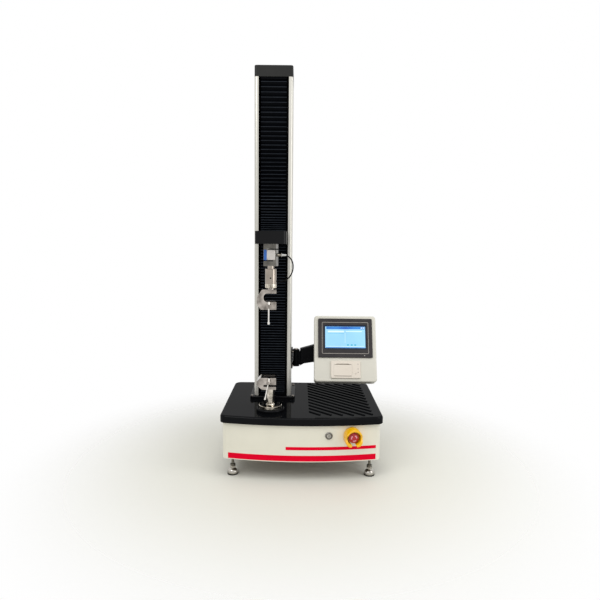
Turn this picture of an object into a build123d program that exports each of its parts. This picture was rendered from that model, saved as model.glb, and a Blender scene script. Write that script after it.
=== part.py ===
from build123d import *
import os
from math import asin, cos, degrees, hypot, pi, radians, sin, sqrt, tan

# Single-column universal testing machine, in millimetres, with +Z up and its front facing -Y.
# The origin is under the middle of the whole machine, on the surface its feet stand on.
# Every piece is drawn with its base centred on the origin, and is moved to that origin last.

# Clearances
running_gap = 0.05
pin_gap = 0.02
panel_gap = 0.3
cut_over = 2

# Base: cover, painted body, frame and feet
base_width = 556
base_depth = 454
front_bow = 30
plan_corner = 26
body_bottom = 70
body_height = 128
cover_height = 25.5
cover_skin = 4
cover_rim = 13
cover_edge = 7
body_inset = 8
body_wall = 3
plate_thick = 10
table_thick = 20
table_inset_side = 38
table_inset_front = 22
table_inset_back = 27
table_corner = 20
post_side = 40
post_inset_x = 78
post_inset_y = 77
foot_inset_x = 39
foot_inset_y = 44
foot_radius = 19
foot_neck_radius = 9
foot_rim = 7
foot_height = 30
stud_radius = 4.5
stud_hex = 9
stud_hex_tall = 7
locknut_radius = 9.5
locknut_tall = 7

# Ribbed rest on the cover, right of the column
rib_pitch = 38
rib_width = 9
rib_height = 3.5
rib_round = 2.4
rib_least = 30
rib_left = 26
rib_inset_side = 34
rib_inset_front = 13
rib_inset_back = 21

# Column
column_x = -109
column_front = -20.7
column_width = 137.5
column_depth = 150
column_top = 1388.6
column_corner = 9
rail_width = 15
back_wall = 12
profile_skin = 4
chamber_count = 3
collar_margin = 15
collar_thick = 12
collar_corner = 12
collar_edge = 2.5
cap_height = 39.4
cap_wall = 3
cap_edge = 3
cap_plate_thick = 15

# Drive inside the column and the base
screw_y = 45
screw_radius = 10
screw_foot_radius = 8
screw_end_radius = 6
screw_end_reach = 12
bearing_block_back = 85
guide_width = 15
guide_height = 12
guide_spread = 60
guide_low = 250
guide_high = 1380
carriage_width = 34
carriage_height = 58
carriage_spread = 100
carriage_stack = 28
carriage_grip = 7
nut_radius = 18
nut_flange_radius = 29
nut_flange_thick = 10
nut_flat = 20
pulley_low = 157
pulley_tall = 16
pulley_radius = 30
pulley_rim = 2
pulley_rim_thick = 1
motor_pulley_radius = 15
pulley_centres = 105
belt_thick = 2
belt_tall = 13
motor_side = 80
motor_tall = 70
motor_corner = 8
motor_shaft_radius = 7
motor_shaft_depth = 20
motor_flange_tall = 8
motor_waist = 4
drive_inset = 143
drive_clear = 10
drive_width = 110
drive_depth = 150
drive_tall = 60
drive_fin_thick = 3
drive_fin_gap = 9
drive_fin_tall = 14

# Crosshead
crosshead_low = 800.5
crosshead_tall = 42.2
crosshead_width = 105
crosshead_front = -200
crosshead_corner = 14
crosshead_standoff = 9
neck_width = 92
back_plate_width = 96
back_plate_tall = 170
back_plate_thick = 12
bellows_width = 92
bellows_front = -16
bellows_deep = 14
bellows_fold = 6
upper_pleat_count = 42
upper_pleat_grade = 1.4
lower_pleat_count = 58
lower_pleat_grade = 1.15

# Load string, from the crosshead down
load_y = -166
cell_width = 44
cell_thick = 27
cell_tall = 74
cell_turn = -12
cell_slot = 4
cell_slot_height = 19.5
cell_slot_reach = 10
cell_window_radius = 9
cell_window_spread = 15
cell_thread_radius = 6
cell_thread_depth = 13
sleeve_radius = 19
sleeve_low = 665
sleeve_high = 717
sleeve_edge = 1.2
sleeve_neck_radius = 11
sleeve_hole_radius = 3
sleeve_hole_above = 11
ring_low = 651.6
ring_notch_radius = 1.6
ring_notch_count = 16
stem_radius = 8
stem_neck_radius = 10
stem_reach = 10

# Grips
grip_left = 46
grip_right = 20
grip_spine = 23
grip_deep = 55
grip_corner = 5
grip_top_cut = 18
grip_low_cut = 13
top_cut_share = 0.38
low_cut_share = 0.3
mouth_round_share = 0.44
front_wall = 14
rear_wall = 12.5
side_wall = 4
jaw_centre_x = -4.5
jaw_gap = 6.5
jaw_open_travel = 1.5
jaw_close_travel = 6
jaw_end_gap = 0.5
jaw_groove = 0.8
jaw_groove_count = 6
clamp_radius = 5
clamp_seat_depth = 5
clamp_head_radius = 7
clamp_head_long = 14
clamp_head_edge = 1.2
bar_radius = 2.3
bar_slide_gap = 0.1
bar_long = 76
knob_radius = 4.25
knob_long = 8
upper_jaw_low = 580
upper_jaw_tall = 26
upper_mouth = 29
upper_arm = 13
lower_jaw_high = 345
lower_jaw_tall = 24
lower_mouth = 7
lower_arm = 10
lower_bar_lean = 11
boss_radius = 49
boss_tall = 12.5
boss_edge = 5
flange_radius = 40
flange_thick = 10
flange_edge = 1.5
spigot_radius = 30
post_radius = 13
post_fillet = 4
post_socket = 15
flange_hole_circle = 31
flange_hole_radius = 3.3
flange_hole_count = 6

# Lead of the load cell: the route is a list of points, relative to the load axis
lead_radius = 2.25
lead_arc_share = 0.45
gland_radius = 5.5
gland_nut_radius = 6.5
gland_nut_long = 6
gland_long = 15
gland_height = 763.5
grommet_x = -20
grommet_y = 48
lead_points = [
    (36.5, -7.7, 763.5),
    (52, -11, 763.2),
    (66, -9.5, 754.5),
    (74.5, -3.2, 738.5),
    (75.5, 5.5, 716.5),
    (69, 16, 696.5),
    (56.5, 26, 681),
    (38.5, 34.5, 671.5),
    (17.5, 40.5, 669.5),
    (-1.5, 44.5, 677.5),
    (-14, 46.8, 695.5),
    (-19.6, 47.8, 720),
    (-20.7, 48.3, 743.5),
    (-20.1, 48.1, 765),
    (-20, 48, 785.4),
]

# Display head, arm and brackets
display_x = 159.5
display_y = -43
display_z = 422.5
display_lean = 22
display_side_margin = 14.5
display_margin = 12
display_deep = 50
display_wall = 3
display_corner = 11
display_edge = 5
hinge_behind = 34
ear_thick = 8
ear_radius = 14
ear_spread = 52
tilt_pin_radius = 6
tilt_pin_in_arm = 22
tilt_washer_thick = 3
tilt_washer_radius = 10
hmi_width = 200
hmi_height = 147
hmi_proud = 6
hmi_body_deep = 30
hmi_body_margin = 5
hmi_corner = 4
hmi_window_width = 156
hmi_window_height = 92
hmi_window_rise = 3
hmi_line_inset = 14
hmi_line_width = 1.6
hmi_line_deep = 0.8
screen_recess = 1.5
screen_thick = 2
printer_width = 108
printer_height = 64
printer_proud = 6
printer_corner = 3
printer_body_width = 98
printer_body_height = 56
printer_body_deep = 40
bay_width = 62
bay_height = 44
bay_x = -10
bay_z = -3
bay_deep = 38
door_width = 66
door_height = 41
door_thick = 3
door_pin_radius = 1
slot_width = 46
slot_height = 2
roll_radius = 17
roll_core_radius = 6
roll_width = 57
button_x = 36
button_z = -14
button_radius = 2.6
button_proud = 1
button_head_radius = 4
button_head_thick = 2
arm_deep = 30
arm_edge = 4
arm_start = 15
arm_end_x = 120
arm_low_start = 341
arm_low_bend_x = 8
arm_low_bend = 349.5
arm_low = 355
arm_low_x = 42
arm_high_start = 406
arm_high = 421
arm_high_x = 45
ear_low = 338
ear_high = 402
bracket_ear_thick = 6
bracket_ear_radius = 13
bracket_plate_thick = 5
bracket_plate_width = 60
bracket_plate_margin = 4
knuckle_web = 18
arm_pin_radius = 5
arm_pin_head = 8
arm_pin_head_thick = 4

# Controls on the bowed front
stop_inset_x = 108
stop_z = 162
guard_radius = 29
guard_inner = 23
guard_long = 40
guard_floor = 3
guard_gap = 20
guard_gap_floor = 9
guard_notch = 11
guard_notch_deep = 7
guard_edge = 1.5
panel_hole = 11.2
stop_barrel_radius = 11
stop_collar_radius = 14
stop_collar_thick = 6
stop_nut_radius = 15
stop_nut_thick = 5
stop_block_side = 28
stop_block_long = 33
stop_barrel_reach = 12
stop_stem_radius = 5
stop_stem_front = -24
stop_head_radius = 17
stop_head_front = -34
stop_head_rim = -24
stop_head_skirt = -16
stop_skirt_radius = 11
stop_dome = 5
stop_travel = 6
key_inset_x = 186
key_z = 162
key_bezel_radius = 12.5
key_bezel_proud = 4
key_bezel_edge = 1.5
key_body_radius = 9.4
key_hole_radius = 9.6
key_body_long = 24
key_nut_radius = 12
key_nut_thick = 4
key_barrel_radius = 7
key_barrel_deep = 14
key_slot_width = 2.2
key_slot_long = 9
key_slot_deep = 9

# Mains inlet and switch on the back
inlet_x = 150
inlet_z = 112
inlet_width = 48
inlet_height = 30
inlet_proud = 3
inlet_plate_share = 0.6
switch_margin = 6
inlet_body_width = 27.5
inlet_body_height = 20.5
inlet_body_long = 22
inlet_socket_width = 24
inlet_socket_height = 16.5
inlet_socket_deep = 17
inlet_pin_width = 4
inlet_pin_thick = 2
inlet_pin_long = 11
inlet_pin_spread = 7
inlet_pin_offset = 2
switch_x = 100
switch_width = 21
switch_height = 30
switch_body_long = 18
switch_bore_width = 15
switch_bore_height = 24
switch_pin_radius = 1.5
rocker_thick = 8
rocker_tilt = 9
rocker_proud = 2.5
vent_count = 9
vent_width = 4
vent_height = 46
vent_pitch = 14
vent_x = -190
vent_z = 134

# Sizes that follow from those above
table_width = base_width - 2 * table_inset_side
table_front = table_inset_front - base_depth / 2
table_back = base_depth / 2 - table_inset_back
post_spread_x = base_width - 2 * post_inset_x
post_spread_y = base_depth - 2 * post_inset_y
foot_spread_x = base_width - 2 * foot_inset_x
foot_spread_y = base_depth - 2 * foot_inset_y
rib_right = base_width / 2 - rib_inset_side
rib_front = rib_inset_front - base_depth / 2
rib_back = base_depth / 2 - rib_inset_back
drive_x = base_width / 2 - drive_inset
stop_x = base_width / 2 - stop_inset_x
key_x = base_width / 2 - key_inset_x
drive_y = post_spread_y / 2 - post_side / 2 - drive_clear - drive_depth / 2
display_width = hmi_width + 2 * display_side_margin
display_height = hmi_height + printer_height + 3 * display_margin
hmi_centre = display_height / 2 - display_margin - hmi_height / 2
printer_centre = display_margin + printer_height / 2 - display_height / 2
base_back = base_depth / 2
base_front = -base_depth / 2
body_top = body_bottom + body_height
cover_top = body_top + cover_height
plate_top = body_bottom + plate_thick
table_low = body_top - table_thick
column_right = column_x + column_width / 2
column_back = column_front + column_depth
column_mid_y = column_front + column_depth / 2
slot_wide = column_width - 2 * rail_width
cavity_back = column_back - back_wall
collar_top = cover_top + collar_thick
boss_top = cover_top + boss_tall
flange_top = boss_top + flange_thick
crosshead_high = crosshead_low + crosshead_tall
crosshead_mid = crosshead_low + crosshead_tall / 2
crosshead_back = column_front - crosshead_standoff
carriage_front = cavity_back - carriage_stack
back_plate_front = carriage_front - back_plate_thick
pulley_high = pulley_low + pulley_tall
motor_top = plate_top + motor_tall
motor_x = column_x + pulley_centres
cell_low = crosshead_low - cell_tall
cell_mid = crosshead_low - cell_tall / 2
upper_total = upper_jaw_tall + upper_mouth + upper_arm
lower_total = lower_jaw_tall + lower_mouth + lower_arm
upper_grip_high = upper_jaw_low + upper_total
lower_grip_low = lower_jaw_high - lower_total
pocket_front = -grip_deep / 2 + front_wall
pocket_back = grip_deep / 2 - rear_wall
pocket_half = grip_right - side_wall - jaw_centre_x
jaw_front_face = pocket_front + jaw_end_gap + jaw_open_travel
clamp_head_back = -grip_deep / 2 - jaw_close_travel - jaw_open_travel
clamp_head_mid = clamp_head_back - clamp_head_long / 2
clamp_x = column_x + jaw_centre_x
upper_clamp_z = upper_jaw_low + upper_jaw_tall / 2
lower_clamp_z = lower_jaw_high - lower_jaw_tall / 2
arm_pin_x = column_right + bracket_plate_thick + bracket_ear_radius + panel_gap
hinge_y = display_y + (display_deep + hinge_behind) * cos(radians(display_lean))
hinge_z = display_z - (display_deep + hinge_behind) * sin(radians(display_lean))
body_half = base_width / 2 - body_inset
bow_radius = (body_half ** 2 + front_bow ** 2) / (2 * front_bow)
bow_front = base_front + body_inset - front_bow
body_back = base_back - body_inset


def span_box(x0, x1, y0, y1, z0, z1):
    """A box between two corners."""
    middle = Pos((x0 + x1) / 2, (y0 + y1) / 2, (z0 + z1) / 2)
    return middle * Box(x1 - x0, y1 - y0, z1 - z0)


def rod_x(radius, x0, x1, y, z):
    """A round bar along X."""
    return Pos((x0 + x1) / 2, y, z) * Rot(0, 90, 0) * Cylinder(radius, x1 - x0)


def rod_y(radius, y0, y1, x, z):
    """A round bar along Y."""
    return Pos(x, (y0 + y1) / 2, z) * Rot(90, 0, 0) * Cylinder(radius, y1 - y0)


def rod_z(radius, z0, z1, x, y):
    """A round bar along Z."""
    return Pos(x, y, (z0 + z1) / 2) * Cylinder(radius, z1 - z0)


def corners(spread_x, spread_y):
    """The four corners of a rectangle centred on the origin."""
    return [Pos(sx * spread_x / 2, sy * spread_y / 2, 0) for sx in (-1, 1) for sy in (-1, 1)]


def base_plan(inset):
    """Plan of the base: straight back and sides, a bowed front and rounded corners."""
    half = base_width / 2 - inset
    back = base_back - inset
    front = base_front + inset
    sides = Polyline((-half, front), (-half, back), (half, back), (half, front))
    bow = ThreePointArc((half, front), (0, front - front_bow), (-half, front))
    plan = make_face(sides.edges() + bow.edges())
    return fillet(plan.vertices(), plan_corner - inset)


def base_slab(inset, low, high):
    """The base's plan, raised between two heights."""
    return Pos(0, 0, low) * extrude(base_plan(inset), high - low)


def column_plan(margin):
    """The column's rounded outline, larger all round by a margin."""
    outline = RectangleRounded(
        column_width + 2 * margin, column_depth + 2 * margin, column_corner + margin
    )
    return Pos(column_x, column_mid_y) * outline


def on_front(x, z, shape):
    """Places a shape, drawn on a panel at y = 0 that faces -Y, on the bowed front."""
    turn = asin(x / bow_radius)
    y = bow_front + bow_radius * (1 - cos(turn))
    return Pos(x, y, z) * Rot(0, 0, degrees(turn)) * shape


def make_base_frame():
    """Bottom plate with four welded posts."""
    inset = body_inset + body_wall + panel_gap
    frame = base_slab(inset, body_bottom, plate_top)
    for place in corners(post_spread_x, post_spread_y):
        post = place * span_box(
            -post_side / 2, post_side / 2, -post_side / 2, post_side / 2, plate_top, table_low
        )
        frame += post
    for place in corners(foot_spread_x, foot_spread_y):
        frame -= place * rod_z(stud_radius + pin_gap, body_bottom - cut_over, plate_top + cut_over, 0, 0)
    return frame


def make_load_table():
    """Steel table that the column and the lower grip stand on."""
    depth = table_back - table_front
    plan = Pos(0, (table_back + table_front) / 2) * RectangleRounded(table_width, depth, table_corner)
    table = Pos(0, 0, table_low) * extrude(plan, table_thick)
    passage = screw_foot_radius + cut_over
    table -= rod_z(passage, table_low - cut_over, body_top + cut_over, column_x, screw_y)
    return table


def make_housing():
    """Painted body with its control, inlet, switch and vent openings."""
    shell = base_slab(body_inset, body_bottom, body_top)
    shell -= base_slab(body_inset + body_wall, body_bottom - cut_over, body_top + cut_over)
    reach = body_wall + cut_over
    shell -= on_front(stop_x, stop_z, rod_y(panel_hole, -cut_over, reach, 0, 0))
    shell -= on_front(key_x, key_z, rod_y(key_hole_radius, -cut_over, reach, 0, 0))
    back = body_back - body_wall - cut_over
    openings = [
        (inlet_x, inlet_body_width + 2 * panel_gap, inlet_body_height + 2 * panel_gap, inlet_z),
        (switch_x, switch_width + 2 * panel_gap, switch_height + 2 * panel_gap, inlet_z),
    ]
    for number in range(vent_count):
        openings.append((vent_x + number * vent_pitch, vent_width, vent_height, vent_z))
    for x, width, height, z in openings:
        shell -= span_box(
            x - width / 2, x + width / 2, back, body_back + cut_over, z - height / 2, z + height / 2
        )
    return shell


def rib_ends():
    """Ends of the slanting ribs: x + y is constant along a rib, and steps by the pitch."""
    ends = []
    total = rib_left + rib_front + rib_pitch
    while total < rib_right + rib_back:
        x0 = max(rib_left, total - rib_back)
        x1 = min(rib_right, total - rib_front)
        if hypot(x1 - x0, x1 - x0) > rib_least:
            ends.append(((x0, total - x0), (x1, total - x1)))
        total += rib_pitch
    return ends


def make_cover():
    """Black moulded cover: rounded lip, grip boss, slanting ribs, open underneath."""
    cover = base_slab(0, body_top, cover_top)
    cover = fillet(cover.faces().sort_by(Axis.Z)[-1].outer_wire().edges(), cover_edge)
    boss = rod_z(boss_radius, cover_top, boss_top, column_x, load_y)
    cover += fillet(boss.edges().sort_by(Axis.Z)[-1], boss_edge)
    cover -= base_slab(cover_rim, body_top - cut_over, cover_top - cover_skin)
    cover -= Pos(0, 0, body_top) * extrude(column_plan(panel_gap), cover_height + cut_over)
    cover -= rod_z(spigot_radius + panel_gap, body_top, boss_top + cut_over, column_x, load_y)
    for (x0, y0), (x1, y1) in rib_ends():
        length = sqrt((x1 - x0) ** 2 + (y1 - y0) ** 2)
        rib = extrude(SlotOverall(length, rib_width), rib_height)
        rib = fillet(rib.faces().sort_by(Axis.Z)[-1].edges(), rib_round)
        cover += Pos((x0 + x1) / 2, (y0 + y1) / 2, cover_top) * Rot(0, 0, -45) * rib
    return cover


def make_foot_pads():
    """Four turned levelling feet with a coned body and a socket for the stud."""
    profile = Polyline(
        (0, 0),
        (foot_radius, 0),
        (foot_radius, foot_rim),
        (foot_neck_radius, foot_height),
        (0, foot_height),
        (0, 0),
    )
    pad = revolve(Plane.XZ * make_face(profile.edges()), Axis.Z)
    pad -= rod_z(stud_radius + running_gap, foot_rim, foot_height + cut_over, 0, 0)
    return Compound([place * pad for place in corners(foot_spread_x, foot_spread_y)])


def make_foot_studs():
    """Four studs with a hexagon just above the foot."""
    stud = rod_z(stud_radius, foot_rim, plate_top + stud_radius, 0, 0)
    stud += Pos(0, 0, foot_height) * extrude(RegularPolygon(stud_hex, 6), stud_hex_tall)
    return Compound([place * stud for place in corners(foot_spread_x, foot_spread_y)])


def make_foot_locknuts():
    """Four locknuts tightened against the underside of the base."""
    nut = Pos(0, 0, body_bottom - locknut_tall) * extrude(RegularPolygon(locknut_radius, 6), locknut_tall)
    nut -= rod_z(stud_radius + pin_gap, body_bottom - locknut_tall - cut_over, body_bottom + cut_over, 0, 0)
    return Compound([place * nut for place in corners(foot_spread_x, foot_spread_y)])


def make_column():
    """Extruded column: two hollow side walls, a back wall and a slot down the front."""
    plan = column_plan(0)
    cavity_deep = cavity_back - column_front
    slot = Rectangle(slot_wide, cavity_deep + cut_over, align=(Align.CENTER, Align.MIN))
    plan -= Pos(column_x, column_front - cut_over) * slot
    room = column_depth - 2 * column_corner - (chamber_count - 1) * profile_skin
    chamber_deep = room / chamber_count
    chamber_wide = rail_width - 2 * profile_skin
    for side in (-1, 1):
        for number in range(chamber_count):
            middle = column_front + column_corner + chamber_deep / 2
            middle += number * (chamber_deep + profile_skin)
            chamber = Rectangle(chamber_wide, chamber_deep)
            plan -= Pos(column_x + side * (column_width - rail_width) / 2, middle) * chamber
    return Pos(0, 0, body_top) * extrude(plan, column_top - body_top)


def make_collar():
    """Flange round the column's foot, on the cover."""
    wide = column_width + 2 * collar_margin
    deep = column_depth + 2 * collar_margin
    plan = Pos(column_x, column_mid_y) * RectangleRounded(wide, deep, collar_corner)
    collar = Pos(0, 0, cover_top) * extrude(plan, collar_thick)
    collar = fillet(collar.faces().sort_by(Axis.Z)[-1].edges(), collar_edge)
    collar -= Pos(0, 0, cover_top - cut_over) * extrude(column_plan(panel_gap), collar_thick + 2 * cut_over)
    return collar


def make_cap_plate():
    """Plate on the column's top end, with the bore for the screw's upper end."""
    plate = Pos(0, 0, column_top) * extrude(column_plan(-cap_wall - panel_gap), cap_plate_thick)
    bore = screw_end_radius + running_gap
    plate -= rod_z(bore, column_top - cut_over, column_top + cap_plate_thick + cut_over, column_x, screw_y)
    return plate


def make_cap():
    """Black cap over the column's top end, open underneath."""
    cap = Pos(0, 0, column_top) * extrude(column_plan(0), cap_height)
    cap = fillet(cap.faces().sort_by(Axis.Z)[-1].edges(), cap_edge)
    inside = cap_height - cap_wall + cut_over
    cap -= Pos(0, 0, column_top - cut_over) * extrude(column_plan(-cap_wall), inside)
    return cap


def make_guides():
    """Two linear guide rails on the column's back wall."""
    rails = []
    for side in (-1, 1):
        x = column_x + side * guide_spread / 2
        rail = span_box(
            x - guide_width / 2, x + guide_width / 2, cavity_back - guide_height, cavity_back,
            guide_low, guide_high,
        )
        rails.append(rail)
    return Compound(rails)


def make_carriages():
    """Four carriages, two on each guide rail, straddling it."""
    blocks = []
    for side in (-1, 1):
        x = column_x + side * guide_spread / 2
        for level in (-1, 1):
            z = crosshead_mid + level * carriage_spread / 2
            low, high = z - carriage_height / 2, z + carriage_height / 2
            block = span_box(
                x - carriage_width / 2,
                x + carriage_width / 2,
                carriage_front,
                cavity_back - guide_height + carriage_grip,
                low,
                high,
            )
            channel = guide_width / 2 + panel_gap
            block -= span_box(
                x - channel,
                x + channel,
                cavity_back - guide_height - panel_gap,
                cavity_back,
                low - cut_over,
                high + cut_over,
            )
            blocks.append(block)
    return Compound(blocks)


def make_bearing_block():
    """Block at the foot of the column that carries the screw and the lower bellows."""
    half = slot_wide / 2 - panel_gap
    block = span_box(
        column_x - half, column_x + half, column_front + panel_gap, bearing_block_back, body_top, collar_top
    )
    bore = screw_foot_radius + running_gap
    block -= rod_z(bore, body_top - cut_over, collar_top + cut_over, column_x, screw_y)
    return block


def make_screw():
    """Ball screw with turned-down ends."""
    low = pulley_low - pulley_rim_thick
    screw = rod_z(screw_end_radius, low, pulley_high, column_x, screw_y)
    screw += rod_z(screw_foot_radius, pulley_high, collar_top + panel_gap, column_x, screw_y)
    screw += rod_z(screw_radius, collar_top + panel_gap, column_top - panel_gap, column_x, screw_y)
    screw += rod_z(screw_end_radius, column_top - panel_gap, column_top + screw_end_reach, column_x, screw_y)
    return screw


def make_nut():
    """Flanged ball nut, seated in the crosshead from below."""
    nut = rod_z(nut_radius, crosshead_low, crosshead_high, column_x, screw_y)
    flange_low = crosshead_low - nut_flange_thick
    flange = rod_z(nut_flange_radius, flange_low, crosshead_low, column_x, screw_y)
    flange &= span_box(
        column_x - nut_flat, column_x + nut_flat, screw_y - nut_flange_radius, screw_y + nut_flange_radius,
        flange_low, crosshead_low,
    )
    nut += flange
    bore = screw_radius + running_gap
    return nut - rod_z(bore, flange_low - cut_over, crosshead_high + cut_over, column_x, screw_y)


def pulley(radius, x, y):
    """A belt pulley with a thin rim at each end."""
    wheel = rod_z(radius, pulley_low, pulley_high, x, y)
    wheel += rod_z(radius + pulley_rim, pulley_low, pulley_low + pulley_rim_thick, x, y)
    wheel += rod_z(radius + pulley_rim, pulley_high - pulley_rim_thick, pulley_high, x, y)
    return wheel


def make_screw_pulley():
    """Large pulley on the screw's lower end."""
    wheel = pulley(pulley_radius, column_x, screw_y)
    bore = screw_end_radius + pin_gap
    return wheel - rod_z(bore, pulley_low - cut_over, pulley_high + cut_over, column_x, screw_y)


def make_motor_pulley():
    """Small pulley with the motor's shaft."""
    wheel = pulley(motor_pulley_radius, motor_x, screw_y)
    return wheel + rod_z(motor_shaft_radius, motor_top - motor_shaft_depth, pulley_high, motor_x, screw_y)


def make_motor():
    """Square servo motor standing on the bottom plate, waisted between its end plates."""
    side = motor_side
    waist = side - 2 * motor_waist
    body = Pos(motor_x, screw_y) * RectangleRounded(waist, waist, motor_corner)
    motor = Pos(0, 0, plate_top) * extrude(body, motor_tall)
    plate = extrude(Pos(motor_x, screw_y) * RectangleRounded(side, side, motor_corner), motor_flange_tall)
    motor += Pos(0, 0, plate_top) * plate
    motor += Pos(0, 0, motor_top - motor_flange_tall) * plate
    bore_low = motor_top - motor_shaft_depth - panel_gap
    return motor - rod_z(motor_shaft_radius + running_gap, bore_low, motor_top + cut_over, motor_x, screw_y)


def belt_face(extra):
    """The outline round both pulleys, further out by an extra."""
    large = Pos(column_x, screw_y) * Circle(pulley_radius + extra)
    small = Pos(motor_x, screw_y) * Circle(motor_pulley_radius + extra)
    return make_hull(large.edges() + small.edges())


def make_belt():
    """Flat belt round both pulleys."""
    low = (pulley_low + pulley_high - belt_tall) / 2
    ring = belt_face(panel_gap + belt_thick) - belt_face(panel_gap)
    return Pos(0, 0, low) * extrude(ring, belt_tall)


def make_servo_drive():
    """Finned drive and control unit on the bottom plate."""
    low, high = plate_top, plate_top + drive_tall
    half_x, half_y = drive_width / 2, drive_depth / 2
    fins_low = high - drive_fin_tall
    unit = span_box(drive_x - half_x, drive_x + half_x, drive_y - half_y, drive_y + half_y, low, fins_low)
    count = int(drive_width // (drive_fin_thick + drive_fin_gap))
    span = (count - 1) * (drive_fin_thick + drive_fin_gap)
    for number in range(count):
        x = drive_x - span / 2 + number * (drive_fin_thick + drive_fin_gap)
        half = drive_fin_thick / 2
        unit += span_box(x - half, x + half, drive_y - half_y, drive_y + half_y, fins_low, high)
    return unit


def make_crosshead():
    """Crosshead: front block, neck through the slot and tall back plate."""
    half = crosshead_width / 2
    front = span_box(
        column_x - half, column_x + half, crosshead_front, crosshead_back, crosshead_low, crosshead_high
    )
    front = fillet(front.edges().filter_by(Axis.Z).group_by(Axis.Y)[0], crosshead_corner)
    neck = neck_width / 2
    head = front + span_box(
        column_x - neck, column_x + neck, crosshead_back, back_plate_front, crosshead_low, crosshead_high
    )
    plate = back_plate_width / 2
    low, high = crosshead_mid - back_plate_tall / 2, crosshead_mid + back_plate_tall / 2
    head += span_box(column_x - plate, column_x + plate, back_plate_front, carriage_front, low, high)
    bore = nut_radius + pin_gap
    return head - rod_z(bore, crosshead_low - cut_over, crosshead_high + cut_over, column_x, screw_y)


def make_bellows(low, high, pleat_count, grade):
    """Pleated cover in front of the screw, its pleats wider towards the top."""
    levels = [low + (high - low) * (number / pleat_count) ** grade for number in range(pleat_count + 1)]
    points = [(bellows_front, low)]
    for before, here in zip(levels, levels[1:]):
        points.append((bellows_front + bellows_fold, (before + here) / 2))
        points.append((bellows_front, here))
    back = bellows_front + bellows_deep
    outline = Polyline(*points, (back, high), (back, low), (bellows_front, low))
    stack = extrude(Plane.YZ * make_face(outline.edges()), bellows_width / 2, both=True)
    return Pos(column_x, 0, 0) * stack


def make_cell():
    """S-shaped load cell: two slots from opposite sides and a double round window."""
    half = cell_width / 2
    deep = cell_thick / 2
    body = Box(cell_width, cell_thick, cell_tall)
    reach = half + cut_over
    for side in (-1, 1):
        z = side * cell_slot_height
        x0, x1 = sorted((-side * (half - cell_slot_reach), side * reach))
        body -= span_box(x0, x1, -deep - cut_over, deep + cut_over, z - cell_slot / 2, z + cell_slot / 2)
        body -= rod_y(
            cell_window_radius, -deep - cut_over, deep + cut_over, side * cell_window_spread / 2, 0
        )
    top = cell_tall / 2
    body -= rod_z(cell_thread_radius + running_gap, -top - cut_over, -top + cell_thread_depth, 0, 0)
    return Pos(column_x, load_y, cell_mid) * Rot(0, 0, cell_turn) * body


def make_glands():
    """Two glands of the lead: one on the load cell's side, one under the crosshead."""
    barrel = rod_z(gland_radius, 0, gland_long, 0, 0)
    nut = extrude(RegularPolygon(gland_nut_radius, 6), gland_nut_long)
    barrel += Pos(0, 0, gland_long - gland_nut_long) * nut
    side = Pos(column_x, load_y, gland_height) * Rot(0, 0, cell_turn) * Pos(cell_width / 2, 0, 0)
    first = side * Rot(0, 90, 0) * barrel
    under = Pos(column_x + grommet_x, load_y + grommet_y, crosshead_low) * Rot(180, 0, 0)
    return Compound([first, under * barrel])


def lead_route():
    """The lead's points, and the radius of the arc at each inner point."""
    points = [Vector(column_x + x, load_y + y, z) for x, y, z in lead_points]
    radii = []
    for before, here, after in zip(points, points[1:], points[2:]):
        run = min((here - before).length, (after - here).length)
        turn = radians((here - before).get_angle(after - here))
        radii.append(lead_arc_share * run / tan(turn / 2))
    return points, radii


def make_lead():
    """The load cell's lead: straight runs joined by tangent arcs."""
    points, radii = lead_route()
    path = FilletPolyline(*points, radius=radii)
    start = Plane(origin=path @ 0, z_dir=path % 0)
    tube = sweep(start * Circle(lead_radius), path=path)
    straight = pi * lead_radius ** 2 * path.length
    print("lead: length", round(path.length, 1), "arc radii", [round(r) for r in radii])
    print("lead: volume", round(tube.volume), "section times length", round(straight))
    return tube


def make_sleeve():
    """Turned coupling sleeve with a neck into the load cell and a cross hole."""
    sleeve = rod_z(sleeve_radius, sleeve_low, sleeve_high, column_x, load_y)
    sleeve = chamfer(sleeve.edges().sort_by(Axis.Z)[-1], sleeve_edge)
    sleeve += rod_z(sleeve_neck_radius, sleeve_high, cell_low, column_x, load_y)
    top = cell_low + cell_thread_depth - panel_gap
    sleeve += rod_z(cell_thread_radius, cell_low, top, column_x, load_y)
    bore = stem_radius + running_gap
    sleeve -= rod_z(bore, sleeve_low - cut_over, sleeve_low + stem_reach + panel_gap, column_x, load_y)
    hole_z = sleeve_low + sleeve_hole_above + stem_reach
    hole = rod_y(sleeve_hole_radius, -sleeve_radius - cut_over, sleeve_radius + cut_over, 0, 0)
    return sleeve - Pos(column_x, load_y, hole_z) * hole


def make_locking_ring():
    """Notched ring that locks the grip to the sleeve."""
    ring = rod_z(sleeve_radius, ring_low, sleeve_low, column_x, load_y)
    ring = chamfer(ring.edges().sort_by(Axis.Z)[0], sleeve_edge)
    bore = stem_radius + running_gap
    ring -= rod_z(bore, ring_low - cut_over, sleeve_low + cut_over, column_x, load_y)
    for number in range(ring_notch_count):
        angle = 2 * pi * number / ring_notch_count
        x = column_x + sleeve_radius * cos(angle)
        y = load_y + sleeve_radius * sin(angle)
        ring -= rod_z(ring_notch_radius, ring_low - cut_over, sleeve_low + cut_over, x, y)
    return ring


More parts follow.
